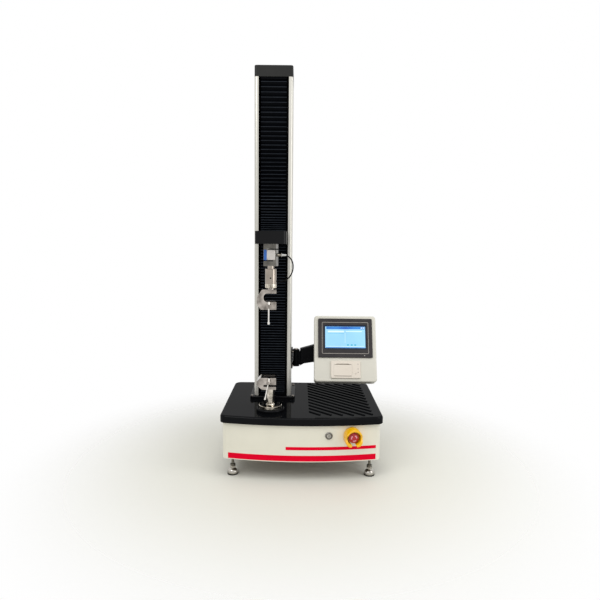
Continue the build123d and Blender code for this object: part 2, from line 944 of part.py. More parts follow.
def grip_frame(jaw_tall, mouth, arm):
    """C-shaped grip frame: the jaw arm's outer face is at z = 0, the load string is above."""
    total = jaw_tall + mouth + arm
    top_cut, low_cut = top_cut_share * total, low_cut_share * total
    outline = Polyline(
        (grip_right, 0),
        (grip_right, total),
        (grip_top_cut - grip_left, total),
        (-grip_left, total - top_cut),
        (-grip_left, low_cut),
        (grip_low_cut - grip_left, 0),
        (grip_right, 0),
    )
    plan = make_face(outline.edges())
    left = plan.vertices().sort_by(Axis.X)[:4]
    plan = fillet(left, grip_corner)
    gap = Pos(-grip_spine, jaw_tall) * Rectangle(
        grip_right + grip_spine + cut_over, mouth, align=(Align.MIN, Align.MIN)
    )
    gap = fillet(gap.vertices().sort_by(Axis.X)[:2], mouth_round_share * mouth)
    frame = extrude(Plane.XZ * (plan - gap), grip_deep / 2, both=True)
    frame -= span_box(
        jaw_centre_x - pocket_half,
        jaw_centre_x + pocket_half,
        pocket_front,
        pocket_back,
        -cut_over,
        jaw_tall + mouth / 2,
    )
    clearance = clamp_radius + running_gap
    frame -= rod_y(clearance, -grip_deep / 2 - cut_over, pocket_front + cut_over, jaw_centre_x, jaw_tall / 2)
    return frame


def rear_jaw(jaw_tall):
    """Fixed jaw on the pocket's rear wall, with cross grooves in its face."""
    half = pocket_half - panel_gap
    low, high = jaw_end_gap, jaw_tall - jaw_end_gap
    face = jaw_gap / 2
    jaw = span_box(jaw_centre_x - half, jaw_centre_x + half, face, pocket_back, low, high)
    return jaw - jaw_grooves(face, low, high)


def front_jaw(jaw_tall):
    """Moving jaw: a plate with a seat for the clamp screw's tip."""
    half = pocket_half - panel_gap
    low, high = jaw_end_gap, jaw_tall - jaw_end_gap
    face = -jaw_gap / 2
    jaw = span_box(jaw_centre_x - half, jaw_centre_x + half, jaw_front_face, face, low, high)
    seat = clamp_seat_depth + panel_gap
    bore = clamp_radius + running_gap
    jaw -= rod_y(bore, jaw_front_face - cut_over, jaw_front_face + seat, jaw_centre_x, jaw_tall / 2)
    return jaw - jaw_grooves(face, low, high)


def jaw_grooves(face, low, high):
    """Level grooves across a jaw's face."""
    half = pocket_half + cut_over
    pitch = (high - low) / jaw_groove_count
    grooves = []
    for number in range(1, jaw_groove_count):
        z = low + number * pitch
        groove = Rot(45, 0, 0) * Box(2 * half, jaw_groove, jaw_groove)
        grooves.append(Pos(jaw_centre_x, face, z) * groove)
    return grooves


def upper(shape):
    """Places a grip piece in the upper grip."""
    return Pos(column_x, load_y, upper_jaw_low) * shape


def lower(shape):
    """Places a grip piece, turned over, in the lower grip."""
    return Pos(column_x, load_y, lower_jaw_high) * mirror(shape, about=Plane.XY)


def make_upper_frame():
    """Upper grip frame with its threaded stem."""
    frame = upper(grip_frame(upper_jaw_tall, upper_mouth, upper_arm))
    frame += rod_z(stem_neck_radius, upper_grip_high, ring_low, column_x, load_y)
    return frame + rod_z(stem_radius, ring_low, sleeve_low + stem_reach, column_x, load_y)


def make_lower_frame():
    """Lower grip frame with its stem into the post."""
    frame = lower(grip_frame(lower_jaw_tall, lower_mouth, lower_arm))
    stem_low = lower_grip_low - post_socket + panel_gap
    return frame + rod_z(stem_radius, stem_low, lower_grip_low, column_x, load_y)


def make_clamp_screw(z, lean):
    """Clamp screw with a cross-drilled head."""
    tip = load_y + jaw_front_face + clamp_seat_depth
    head_back = load_y + clamp_head_back
    screw = rod_y(clamp_radius, head_back, tip, clamp_x, z)
    head = rod_y(clamp_head_radius, head_back - clamp_head_long, head_back, clamp_x, z)
    screw += chamfer(head.edges().filter_by(GeomType.CIRCLE), clamp_head_edge)
    hole = Cylinder(bar_radius + bar_slide_gap, 2 * clamp_head_radius + 2 * cut_over)
    return screw - Pos(clamp_x, load_y + clamp_head_mid, z) * Rot(0, lean, 0) * hole


def make_tommy_bar(z, lean):
    """Tommy bar with a coned knob at each end, hanging from its upper knob."""
    rest = clamp_head_radius + bar_slide_gap
    high = rest + knob_long
    low = high - bar_long
    neck = knob_radius - bar_radius
    bar = rod_z(bar_radius, low + knob_long, rest, 0, 0)
    upper_knob = Pos(0, 0, rest + knob_long / 2) * Cone(knob_radius, knob_radius - neck / 2, knob_long)
    lower_knob = Pos(0, 0, low + knob_long / 2) * Cone(knob_radius - neck / 2, knob_radius, knob_long)
    bar += upper_knob
    bar += lower_knob
    return Pos(clamp_x, load_y + clamp_head_mid, z) * Rot(0, lean, 0) * bar


def make_lower_adapter():
    """Lower adapter: spigot through the cover, bolted flange and post with a socket."""
    adapter = rod_z(spigot_radius, body_top, boss_top, column_x, load_y)
    flange = rod_z(flange_radius, boss_top, flange_top, column_x, load_y)
    adapter += fillet(flange.edges().sort_by(Axis.Z)[-1], flange_edge)
    post = rod_z(post_radius, flange_top, lower_grip_low, column_x, load_y)
    adapter += post
    rings = adapter.edges().filter_by(GeomType.CIRCLE)
    rings = [edge for edge in rings if edge.radius < post_radius + panel_gap]
    foot = min(rings, key=lambda edge: abs(edge.center().Z - flange_top))
    adapter = fillet(foot, post_fillet)
    bore = stem_radius + running_gap
    adapter -= rod_z(bore, lower_grip_low - post_socket, lower_grip_low + cut_over, column_x, load_y)
    for number in range(flange_hole_count):
        angle = 2 * pi * (number + 0.5) / flange_hole_count
        x = column_x + flange_hole_circle * cos(angle)
        y = load_y + flange_hole_circle * sin(angle)
        adapter -= rod_z(flange_hole_radius, boss_top - cut_over, flange_top + cut_over, x, y)
    return adapter


def on_display(shape):
    """Places a shape drawn with the display's face at y = 0, facing -Y, and its middle at x = z = 0."""
    return Pos(display_x, display_y, display_z) * Rot(-display_lean, 0, 0) * shape


def panel(width, height, corner, y0, y1, x=0, z=0):
    """An upright plate with rounded corners between two depths."""
    plate = extrude(Plane.XZ * RectangleRounded(width, height, corner), -(y1 - y0))
    return Pos(x, y0, z) * plate


def make_display_housing():
    """Front shell of the display head, open behind, with two cut-outs."""
    shell = panel(display_width, display_height, display_corner, 0, display_deep)
    shell = fillet(shell.faces().sort_by(Axis.Y)[0].edges(), display_edge)
    inner_corner = display_corner - display_wall
    shell -= panel(
        display_width - 2 * display_wall,
        display_height - 2 * display_wall,
        inner_corner,
        display_wall,
        display_deep + cut_over,
    )
    hmi_wide = hmi_width - 2 * hmi_body_margin + 2 * panel_gap
    hmi_high = hmi_height - 2 * hmi_body_margin + 2 * panel_gap
    shell -= span_box(
        -hmi_wide / 2, hmi_wide / 2, -cut_over, display_wall + cut_over,
        hmi_centre - hmi_high / 2, hmi_centre + hmi_high / 2,
    )
    wide = printer_body_width + 2 * panel_gap
    high = printer_body_height + 2 * panel_gap
    shell -= span_box(
        -wide / 2, wide / 2, -cut_over, display_wall + cut_over,
        printer_centre - high / 2, printer_centre + high / 2,
    )
    return on_display(shell)


def make_display_back():
    """Back plate of the display head with the two ears of the tilt hinge."""
    gap = display_wall + panel_gap
    plate = panel(
        display_width - 2 * gap, display_height - 2 * gap, display_corner - gap,
        display_deep - display_wall, display_deep,
    )
    axis_y = display_deep + hinge_behind
    for side in (-1, 1):
        x0 = side * ear_spread / 2 - ear_thick / 2
        ear = span_box(x0, x0 + ear_thick, display_deep, axis_y, -ear_radius, ear_radius)
        ear += rod_x(ear_radius, x0, x0 + ear_thick, axis_y, 0)
        ear -= rod_x(tilt_pin_radius + running_gap, x0 - cut_over, x0 + ear_thick + cut_over, axis_y, 0)
        plate += ear
    return on_display(plate)


def make_hmi_bezel():
    """Frame of the operating panel, with its body behind the face."""
    bezel = panel(hmi_width, hmi_height, hmi_corner, -hmi_proud, 0, 0, hmi_centre)
    bezel = chamfer(bezel.faces().sort_by(Axis.Y)[0].edges(), hmi_line_width)
    bezel += panel(
        hmi_width - 2 * hmi_body_margin, hmi_height - 2 * hmi_body_margin, hmi_corner,
        0, hmi_body_deep, 0, hmi_centre,
    )
    window = hmi_centre + hmi_window_rise
    floor = screen_recess + screen_thick - hmi_proud
    bezel -= span_box(
        -hmi_window_width / 2, hmi_window_width / 2, -hmi_proud - cut_over, floor,
        window - hmi_window_height / 2, window + hmi_window_height / 2,
    )
    wide, high = hmi_width - 2 * hmi_line_inset, hmi_height - 2 * hmi_line_inset
    line = panel(wide, high, hmi_corner, -hmi_proud - cut_over, hmi_line_deep - hmi_proud, 0, hmi_centre)
    line -= panel(
        wide - 2 * hmi_line_width, high - 2 * hmi_line_width, hmi_corner - hmi_line_width,
        -hmi_proud - 2 * cut_over, cut_over, 0, hmi_centre,
    )
    return on_display(bezel - line)


def make_hmi_screen():
    """Touch screen in the panel's window."""
    window = hmi_centre + hmi_window_rise
    half_wide = hmi_window_width / 2 - panel_gap
    half_high = hmi_window_height / 2 - panel_gap
    front = screen_recess - hmi_proud
    screen = span_box(
        -half_wide, half_wide, front, front + screen_thick, window - half_high, window + half_high
    )
    return on_display(screen)


def printer_box(x0, x1, y0, y1, z0, z1):
    """A box in the printer's own frame: its middle is at x = z = 0."""
    return Pos(0, 0, printer_centre) * span_box(x0, x1, y0, y1, z0, z1)


def door_low():
    """Height of the printer door's lower edge in the printer's frame."""
    return bay_z - door_height / 2


def make_printer_frame():
    """Panel printer: raised frame, body behind, paper bay, paper slot and button hole."""
    frame = panel(printer_width, printer_height, printer_corner, -printer_proud, 0, 0, printer_centre)
    frame = chamfer(frame.faces().sort_by(Axis.Y)[0].edges(), printer_corner / 2)
    half_wide, half_high = printer_body_width / 2, printer_body_height / 2
    frame += printer_box(-half_wide, half_wide, 0, printer_body_deep, -half_high, half_high)
    recess = door_width / 2 + panel_gap
    low = door_low() - panel_gap
    high = door_low() + door_height + panel_gap
    floor = door_thick + panel_gap - printer_proud
    frame -= printer_box(bay_x - recess, bay_x + recess, -printer_proud - cut_over, floor, low, high)
    bay_front = -printer_proud
    frame -= printer_box(
        bay_x - bay_width / 2, bay_x + bay_width / 2, bay_front, bay_deep,
        bay_z - bay_height / 2, bay_z + bay_height / 2,
    )
    slot_z = high + slot_height
    frame -= printer_box(
        bay_x - slot_width / 2, bay_x + slot_width / 2, -printer_proud - cut_over, door_thick,
        slot_z - slot_height / 2, slot_z + slot_height / 2,
    )
    hole = rod_y(button_radius + panel_gap, -printer_proud - cut_over, 0, button_x, printer_centre + button_z)
    frame -= hole
    room = button_head_radius + panel_gap
    frame -= rod_y(room, -printer_proud / 2, printer_body_deep / 2, button_x, printer_centre + button_z)
    pin_y = door_thick / 2 - printer_proud
    pin_z = printer_centre + door_low() + door_thick / 2
    reach = door_width / 2 + door_thick
    frame -= rod_x(door_pin_radius + running_gap, bay_x - reach, bay_x + reach, pin_y, pin_z)
    return on_display(frame)


def make_printer_door():
    """Printer door with its two hinge stubs at the lower edge."""
    y0 = -printer_proud
    pin_y = door_thick / 2 - printer_proud
    low = door_low()
    door = printer_box(
        bay_x - door_width / 2, bay_x + door_width / 2, y0, y0 + door_thick, low, low + door_height
    )
    long_edges = door.edges().filter_by(Axis.X).group_by(Axis.Z)[0]
    door = fillet(long_edges, door_thick / 2 - running_gap)
    reach = door_width / 2 + door_thick - panel_gap
    stub = rod_x(door_pin_radius, bay_x - reach, bay_x + reach, pin_y, printer_centre + low + door_thick / 2)
    return on_display(door + stub)


def make_paper_roll():
    """Roll of paper lying in the bay, with its hollow core."""
    z = printer_centre + bay_z - bay_height / 2 + roll_radius + panel_gap
    y = bay_deep - roll_radius - panel_gap
    roll = rod_x(roll_radius, bay_x - roll_width / 2, bay_x + roll_width / 2, y, z)
    reach = roll_width / 2 + cut_over
    return on_display(roll - rod_x(roll_core_radius, bay_x - reach, bay_x + reach, y, z))


def make_feed_button():
    """Paper feed button with a head that keeps it behind the frame."""
    z = printer_centre + button_z
    back = -printer_proud / 2 + panel_gap
    button = rod_y(button_radius, -printer_proud - button_proud, back, button_x, z)
    return on_display(button + rod_y(button_head_radius, back, back + button_head_thick, button_x, z))


def make_arm():
    """Box arm: knuckle on the column's pin, then a rising, rounded bar behind the display."""
    x0 = arm_pin_x + arm_start
    outline = Polyline(
        (x0, arm_low_start),
        (arm_low_bend_x, arm_low_bend),
        (arm_low_x, arm_low),
        (arm_end_x, arm_low),
        (arm_end_x, arm_high),
        (arm_high_x, arm_high),
        (x0, arm_high_start),
        (x0, arm_low_start),
    )
    arm = extrude(Plane.XZ * make_face(outline.edges()), arm_deep / 2, both=True)
    arm = fillet(arm.faces().sort_by(Axis.Y)[0].edges() + arm.faces().sort_by(Axis.Y)[-1].edges(), arm_edge)
    low = ear_low + bracket_ear_thick + panel_gap
    high = ear_high - bracket_ear_thick - panel_gap
    arm += span_box(arm_pin_x, x0 + arm_edge, -knuckle_web / 2, knuckle_web / 2, low, high)
    arm += rod_z(bracket_ear_radius - panel_gap, low, high, arm_pin_x, 0)
    arm = Pos(0, hinge_y, 0) * arm
    arm -= rod_z(arm_pin_radius + running_gap, low - cut_over, high + cut_over, arm_pin_x, hinge_y)
    bore = tilt_pin_radius + pin_gap
    return arm - rod_x(bore, arm_end_x - tilt_pin_in_arm, arm_end_x + cut_over, hinge_y, hinge_z)


def make_arm_bracket():
    """Bracket on the column's side with two ears for the arm's pin."""
    half = bracket_plate_width / 2
    bracket = span_box(
        column_right, column_right + bracket_plate_thick, hinge_y - half, hinge_y + half,
        ear_low - bracket_plate_margin, ear_high + bracket_plate_margin,
    )
    for low in (ear_low, ear_high - bracket_ear_thick):
        ear = span_box(
            column_right + bracket_plate_thick, arm_pin_x, hinge_y - bracket_ear_radius,
            hinge_y + bracket_ear_radius, low, low + bracket_ear_thick,
        )
        bracket += ear + rod_z(bracket_ear_radius, low, low + bracket_ear_thick, arm_pin_x, hinge_y)
    bore = arm_pin_radius + pin_gap
    return bracket - rod_z(bore, ear_low - cut_over, ear_high + cut_over, arm_pin_x, hinge_y)


def make_arm_pin():
    """Headed pin through the bracket's ears and the arm."""
    pin = rod_z(arm_pin_radius, ear_low, ear_high, arm_pin_x, hinge_y)
    return pin + rod_z(arm_pin_head, ear_high, ear_high + arm_pin_head_thick, arm_pin_x, hinge_y)


def make_tilt_pin():
    """Pin from the arm's end through the display's ears, with a washer at its end."""
    start = arm_end_x - tilt_pin_in_arm + panel_gap
    ears_end = display_x + ear_spread / 2 + ear_thick / 2 + panel_gap
    pin = rod_x(tilt_pin_radius, start, ears_end + tilt_washer_thick, hinge_y, hinge_z)
    pin += rod_x(tilt_washer_radius, ears_end, ears_end + tilt_washer_thick, hinge_y, hinge_z)
    shoulder = display_x - ear_spread / 2 - ear_thick / 2 - panel_gap
    return pin + rod_x(tilt_washer_radius, arm_end_x, shoulder, hinge_y, hinge_z)


def make_guard():
    """Yellow shroud round the stop button: open below, notched at its sides."""
    guard = rod_y(guard_radius, -guard_long, 0, 0, 0)
    guard = fillet(guard.edges().sort_by(Axis.Y)[0], guard_edge)
    guard -= rod_y(guard_inner, -guard_long - cut_over, -guard_floor, 0, 0)
    guard -= rod_y(panel_hole, -guard_floor - cut_over, cut_over, 0, 0)
    guard -= span_box(
        -guard_gap / 2, guard_gap / 2, -guard_long - cut_over, -guard_gap_floor, -guard_radius - cut_over, 0
    )
    for side in (-1, 1):
        x0, x1 = sorted((0, side * (guard_radius + cut_over)))
        guard -= rod_x(guard_notch, x0, x1, guard_notch_deep - guard_notch - guard_long, 0)
    return on_front(stop_x, stop_z, guard)


def make_stop_body():
    """Stop switch behind the panel: collar, threaded barrel, nut and contact block."""
    floor = -guard_floor
    body = rod_y(stop_collar_radius, floor - stop_collar_thick, floor, 0, 0)
    body += rod_y(stop_barrel_radius, floor, stop_barrel_reach, 0, 0)
    nut_front = body_wall + 2 * panel_gap
    body += rod_y(stop_nut_radius, nut_front, nut_front + stop_nut_thick, 0, 0)
    half = stop_block_side / 2
    body += span_box(-half, half, stop_barrel_reach, stop_barrel_reach + stop_block_long, -half, half)
    depth = stop_travel * 2 + panel_gap
    body -= rod_y(stop_stem_radius + running_gap, floor - stop_collar_thick - cut_over, depth, 0, 0)
    return on_front(stop_x, stop_z, body)


def make_stop_plunger():
    """Stem of the stop button."""
    return on_front(stop_x, stop_z, rod_y(stop_stem_radius, stop_stem_front, stop_travel, 0, 0))


def make_stop_head():
    """Red mushroom head: domed cap over a skirt, turned on the stem."""
    shoulder = -stop_head_front - stop_dome
    dome_radius = (stop_head_radius ** 2 + stop_dome ** 2) / (2 * stop_dome)
    half = stop_head_radius / 2
    middle = -stop_head_front - dome_radius + sqrt(dome_radius ** 2 - half ** 2)
    sides = Polyline(
        (0, -stop_head_front),
        (0, -stop_head_skirt),
        (stop_skirt_radius, -stop_head_skirt),
        (stop_skirt_radius, -stop_head_rim),
        (stop_head_radius, -stop_head_rim),
        (stop_head_radius, shoulder),
    )
    cap = ThreePointArc((stop_head_radius, shoulder), (half, middle), (0, -stop_head_front))
    head = Rot(90, 0, 0) * revolve(Plane.XZ * make_face(sides.edges() + cap.edges()), Axis.Z)
    bore = stop_stem_radius + running_gap
    return on_front(stop_x, stop_z, head - rod_y(bore, stop_stem_front - panel_gap, 0, 0, 0))


def make_key_bezel():
    """Chromed key switch: bezel, body behind the panel and nut."""
    bezel = rod_y(key_bezel_radius, -key_bezel_proud, 0, 0, 0)
    bezel = chamfer(bezel.edges().sort_by(Axis.Y)[0], key_bezel_edge)
    bezel += rod_y(key_body_radius, 0, key_body_long, 0, 0)
    nut_front = body_wall + 2 * panel_gap
    bezel += rod_y(key_nut_radius, nut_front, nut_front + key_nut_thick, 0, 0)
    depth = key_barrel_deep + panel_gap - key_bezel_proud
    bezel -= rod_y(key_barrel_radius + running_gap, -key_bezel_proud - cut_over, depth, 0, 0)
    return on_front(key_x, key_z, bezel)


def make_key_barrel():
    """Turning barrel of the key switch with its key slot upright."""
    front = -key_bezel_proud
    barrel = rod_y(key_barrel_radius, front, key_barrel_deep + front, 0, 0)
    half_wide, half_long = key_slot_width / 2, key_slot_long / 2
    barrel -= span_box(-half_wide, half_wide, front - cut_over, front + key_slot_deep, -half_long, half_long)
    return on_front(key_x, key_z, barrel)


def make_power_inlet():
    """Mains inlet and the frame of the switch beside it, on one plate."""
    y = body_back
    left = switch_x - switch_width / 2 - switch_margin
    right = inlet_x + inlet_width / 2
    half_plate = inlet_plate_share * inlet_height
    plate = span_box(left, right, y, y + inlet_proud, inlet_z - half_plate, inlet_z + half_plate)
    plate = fillet(plate.edges().filter_by(Axis.Y), inlet_proud)
    half_wide, half_high = inlet_body_width / 2, inlet_body_height / 2
    plate += span_box(
        inlet_x - half_wide, inlet_x + half_wide, y - inlet_body_long, y,
        inlet_z - half_high, inlet_z + half_high,
    )
    half_wide, half_high = inlet_socket_width / 2, inlet_socket_height / 2
    floor = y + inlet_proud - inlet_socket_deep
    plate -= span_box(
        inlet_x - half_wide, inlet_x + half_wide, floor, y + inlet_proud + cut_over,
        inlet_z - half_high, inlet_z + half_high,
    )
    for number in (-1, 0, 1):
        x = inlet_x + number * inlet_pin_spread
        z = inlet_z + (inlet_pin_offset if number == 0 else -inlet_pin_offset)
        plate += span_box(
            x - inlet_pin_thick / 2, x + inlet_pin_thick / 2, floor, floor + inlet_pin_long,
            z - inlet_pin_width / 2, z + inlet_pin_width / 2,
        )
    half_wide, half_high = switch_width / 2, switch_height / 2
    plate += span_box(
        switch_x - half_wide, switch_x + half_wide, y - switch_body_long, y,
        inlet_z - half_high, inlet_z + half_high,
    )
    half_wide, half_high = switch_bore_width / 2, switch_bore_height / 2
    plate -= span_box(
        switch_x - half_wide, switch_x + half_wide, y - switch_body_long + inlet_proud,
        y + inlet_proud + cut_over, inlet_z - half_high, inlet_z + half_high,
    )
    reach = switch_width / 2 - panel_gap
    bore = switch_pin_radius + running_gap
    return plate - rod_x(bore, switch_x - reach, switch_x + reach, y, inlet_z)


def make_power_switch():
    """Rocker with its two hinge stubs, tilted to the off side."""
    half_wide = switch_bore_width / 2 - panel_gap
    half_high = switch_bore_height / 2 - 3 * panel_gap
    front = inlet_proud + rocker_proud
    outline = Polyline(
        (-half_high, front - rocker_thick),
        (-half_high, front),
        (0, front - rocker_proud),
        (half_high, front),
        (half_high, front - rocker_thick),
        (-half_high, front - rocker_thick),
    )
    rocker = extrude(make_face(outline.edges()), half_wide, both=True)
    rocker = Plane(origin=(0, 0, 0), x_dir=(0, 0, 1), z_dir=(1, 0, 0)).location * rocker
    reach = switch_width / 2 - 2 * panel_gap
    rocker = Rot(-rocker_tilt, 0, 0) * rocker + rod_x(switch_pin_radius, -reach, reach, 0, 0)
    return Pos(switch_x, body_back, inlet_z) * rocker


def build():
    """All pieces by name."""
    return {
        "base_frame": make_base_frame(),
        "base_housing": make_housing(),
        "top_cover": make_cover(),
        "foot_pads": make_foot_pads(),
        "foot_studs": make_foot_studs(),
        "foot_locknuts": make_foot_locknuts(),
        "load_table": make_load_table(),
        "column": make_column(),
        "column_collar": make_collar(),
        "top_cap": make_cap(),
        "top_bearing_plate": make_cap_plate(),
        "guide_rails": make_guides(),
        "lower_bearing_block": make_bearing_block(),
        "drive_motor": make_motor(),
        "timing_belt": make_belt(),
        "servo_drive": make_servo_drive(),
        "power_inlet": make_power_inlet(),
        "power_switch": make_power_switch(),
        "ball_screw": make_screw(),
        "screw_pulley": make_screw_pulley(),
        "motor_pulley": make_motor_pulley(),
        "crosshead": make_crosshead(),
        "ball_nut": make_nut(),
        "linear_blocks": make_carriages(),
        "bellows_upper": make_bellows(crosshead_high, column_top, upper_pleat_count, upper_pleat_grade),
        "bellows_lower": make_bellows(collar_top, crosshead_low, lower_pleat_count, lower_pleat_grade),
        "load_cell": make_cell(),
        "lead_glands": make_glands(),
        "load_cell_lead": make_lead(),
        "grip_adapter": make_sleeve(),
        "locking_ring": make_locking_ring(),
        "upper_grip_frame": make_upper_frame(),
        "upper_rear_jaw": upper(rear_jaw(upper_jaw_tall)),
        "upper_front_jaw": upper(front_jaw(upper_jaw_tall)),
        "upper_grip_screw": make_clamp_screw(upper_clamp_z, 0),
        "upper_tommy_bar": make_tommy_bar(upper_clamp_z, 0),
        "lower_adapter": make_lower_adapter(),
        "lower_grip_frame": make_lower_frame(),
        "lower_rear_jaw": lower(rear_jaw(lower_jaw_tall)),
        "lower_front_jaw": lower(front_jaw(lower_jaw_tall)),
        "lower_grip_screw": make_clamp_screw(lower_clamp_z, lower_bar_lean),
        "lower_tommy_bar": make_tommy_bar(lower_clamp_z, lower_bar_lean),
        "arm_bracket": make_arm_bracket(),
        "arm_pin": make_arm_pin(),
        "display_arm": make_arm(),
        "tilt_pin": make_tilt_pin(),
        "display_housing": make_display_housing(),
        "display_back": make_display_back(),
        "hmi_bezel": make_hmi_bezel(),
        "hmi_screen": make_hmi_screen(),
        "printer_frame": make_printer_frame(),
        "printer_door": make_printer_door(),
        "paper_roll": make_paper_roll(),
        "feed_button": make_feed_button(),
        "estop_guard": make_guard(),
        "estop_body": make_stop_body(),
        "estop_plunger": make_stop_plunger(),
        "estop_head": make_stop_head(),
        "key_switch_bezel": make_key_bezel(),
        "key_barrel": make_key_barrel(),
    }


def middle_y(pieces):
    """Half way between the foremost and rearmost pieces."""
    boxes = [piece.bounding_box() for piece in pieces.values()]
    return (min(box.min.Y for box in boxes) + max(box.max.Y for box in boxes)) / 2


pieces = build()
shift_y = middle_y(pieces)
os.makedirs("parts", exist_ok=True)
for node, piece in pieces.items():
    export_step(Pos(0, -shift_y, 0) * piece, f"parts/{node}.step")
print("pieces", len(pieces), "base centre is at y", round(-shift_y, 3))
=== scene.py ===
from math import asin, cos, pi, radians, sin
import bmesh
import bpy
from mathutils import Matrix, Vector


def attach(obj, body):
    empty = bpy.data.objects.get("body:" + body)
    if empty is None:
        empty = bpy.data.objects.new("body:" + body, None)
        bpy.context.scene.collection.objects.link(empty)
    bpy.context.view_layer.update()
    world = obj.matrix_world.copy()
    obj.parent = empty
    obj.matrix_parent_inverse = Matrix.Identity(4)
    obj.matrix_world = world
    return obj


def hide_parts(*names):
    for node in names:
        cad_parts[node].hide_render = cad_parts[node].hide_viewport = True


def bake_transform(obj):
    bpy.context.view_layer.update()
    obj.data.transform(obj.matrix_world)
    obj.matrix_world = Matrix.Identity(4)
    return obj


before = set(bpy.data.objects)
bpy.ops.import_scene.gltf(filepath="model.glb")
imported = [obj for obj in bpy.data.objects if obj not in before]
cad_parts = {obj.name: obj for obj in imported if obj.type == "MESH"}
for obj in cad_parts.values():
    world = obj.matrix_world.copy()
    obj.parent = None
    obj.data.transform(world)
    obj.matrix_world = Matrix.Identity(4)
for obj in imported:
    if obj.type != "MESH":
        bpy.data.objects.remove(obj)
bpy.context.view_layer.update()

# Single-column universal testing machine: its materials, trim, bellows, lead, guard and feet, and the studio.
# Lengths are in millimetres along the frame's axes, and turn into metres where a piece is made. The lamps and
# the floor are in metres. Angles are in degrees. Scales of noise are per metre.
mm = 0.001

# A small gap between faces, sides of a turned piece, steps round a corner, the angle from which an edge is
# sharp, and the signs of a plate's four corners
film = 0.3
sides = 48
corner_steps = 6
smooth_angle = 30
corners = ((-1, -1), (-1, 1), (1, -1), (1, 1))

# Camera, fitted to the photograph's edges. The focal length is in pixels of a 600 pixel image.
camera_place = (-10.89, -1913.1, 781.04)
camera_pitch = 6.34
camera_yaw = -0.06
camera_roll = 0.56
focal_pixels = 521.93
image_pixels = 600
centre_row = 308
sensor_width = 36

# Lamps: name, place, target and size in metres, power in watts
lamps = [
    ("key", (-1.4, -1.8, 2.3), (-0.05, 0, 0.6), (1.4, 1.4), 23),
    ("side", (1.6, -0.9, 1.3), (0, 0, 0.7), (1, 1.7), 12),
    ("top", (0.2, -1, 2.9), (0, 0, 0.4), (1.6, 1.2), 16),
]
world_strength = 0.6
white = (1, 1, 1, 1)

# Floor: a disc that fades out between two distances, in metres
floor_radius = 3
floor_segments = 96
floor_fade = (0.35, 1.1)
floor_rough = 0.6
floor_colour = (228, 227, 217)

# Materials: how finely each noise is drawn, the span that most noise lies in, and the relief's depth
patch_detail = 5
grain_detail = 3
relief_detail = 2
noise_span = (0.3, 0.7)
relief_depth = 0.05

# Worn edges, lightened partly as wear and partly as a painted highlight: a band's width, and how alike the
# rounded and the flat normal are at its two sides
edge_band = 0.9
edge_likeness = (0.98, 0.8)

# Turning marks: the wave's own factor, its unevenness, and its depth as a share of the pitch
wave_factor = 20
ring_unevenness = 0.4
ring_depth_share = 0.25
table_ring_pitch = 1.6
table_ring_strength = 0.35

# Base front: a bowed wall, its foremost point, and the stripes on it
bow_radius = 1230
bow_front = -222.322
stripe_steps = 40
stripe_thick = 0.35
stripe_right = 254
low_stripe_left = -250
low_stripe = (73, 92.5)
high_stripe_left = -53
high_stripe = (112, 122.8)

# Places on the machine
column_x = -109
load_y = -139.322
column_front = 5.978
column_back = 155.978
column_width = 137.5
slot_half = 53.75
# Colour of the slot's inner walls: partly painted shade in the recess, partly a dark inner finish
slot_shade_colour = (10, 10, 12)
column_top = 1388.6
collar_top = 235.5
flange_top = 246
crosshead_low = 800.5
crosshead_high = 842.7
housing_back = 245.678

# Bellows: the pleats widen towards the top by a grade, and are cut into bands at shares of the span between
# two bodies' ends
bellows_front = 10.678
bellows_fold = 6
bellows_back = 24.4
bellows_width = 91.6
bellows_bar = 7
bellows_bar_over = 1
bellows_bar_proud = 0.8
bellows_bar_corner = 1
bellows_bar_edge = 0.8
pleat_lip_share = 0.16
pleat_round_share = 0.08
# How far back from the front the faces with the painted highlight on the lips reach
pleat_lip_reach = 1
band_shares = (0, 0.04, 0.09, 0.18, 0.34, 0.66, 0.82, 0.91, 0.96, 1)
upper_pleats, upper_grade = 42, 1.4
lower_pleats, lower_grade = 58, 1.15

# Lead of the load cell: the same points as its solid's, relative to the load axis
lead_radius = 2.25
lead_round = 5
lead_smooth = 8
lead_points = [
    (36.5, -7.7, 763.5),
    (52, -11, 763.2),
    (66, -9.5, 754.5),
    (74.5, -3.2, 738.5),
    (75.5, 5.5, 716.5),
    (69, 16, 696.5),
    (56.5, 26, 681),
    (38.5, 34.5, 671.5),
    (17.5, 40.5, 669.5),
    (-1.5, 44.5, 677.5),
    (-14, 46.8, 695.5),
    (-19.6, 47.8, 720),
    (-20.7, 48.3, 743.5),
    (-20.1, 48.1, 765),
    (-20, 48, 785.4),
]
boot_profile = [(2.4, 0.2), (3.9, 0.2), (3.9, 3), (3.3, 6), (3.1, 15), (2.4, 16.5)]

# Load cell, turned on the load axis, with its cover plate and blue strip
cell_middle = 763.5
cell_turn = -12
cell_half_thick = 13.5
cell_plate_size = (29, 33)
cell_plate_x = 3.8
cell_plate_thick = 1.2
cell_plate_corner = 1.5
cell_plate_soft = 0.4
cell_screw = (1.5, 0.8)
cell_screw_inset = 3
cell_strip_size = (10.2, 35)
cell_strip_x = -16
cell_strip_thick = 0.5
cell_strip_corner = 0.8
cell_strip_soft = 0.2

# Display head: its middle, its lean, and the places on its face
display_place = (159.5, -16.322, 422.5)
display_lean = 22
hmi_middle = 38
hmi_proud = 6
hmi_size = (200, 147)
hmi_line_inset = 14
hmi_line_width = 1.6
hmi_line_thick = 0.75
hmi_line_sunk = 0.8
hmi_corner = 4
screen_recess = 1.5
bezel_lamp_place = (70, -28)
bezel_lamp_profile = [(1.5, 0), (1.5, 0.3), (1, 0.5)]
printer_proud = 6
printer_mark_x = 45
printer_mark_rows = (-59.5, -77.5, -89.5)
printer_mark_profile = [(1.5, 0), (1.5, 0.3), (1.1, 0.5)]
display_screw = (3.2, 2.2)
display_screw_reach = (100, 108)
display_depth = 50

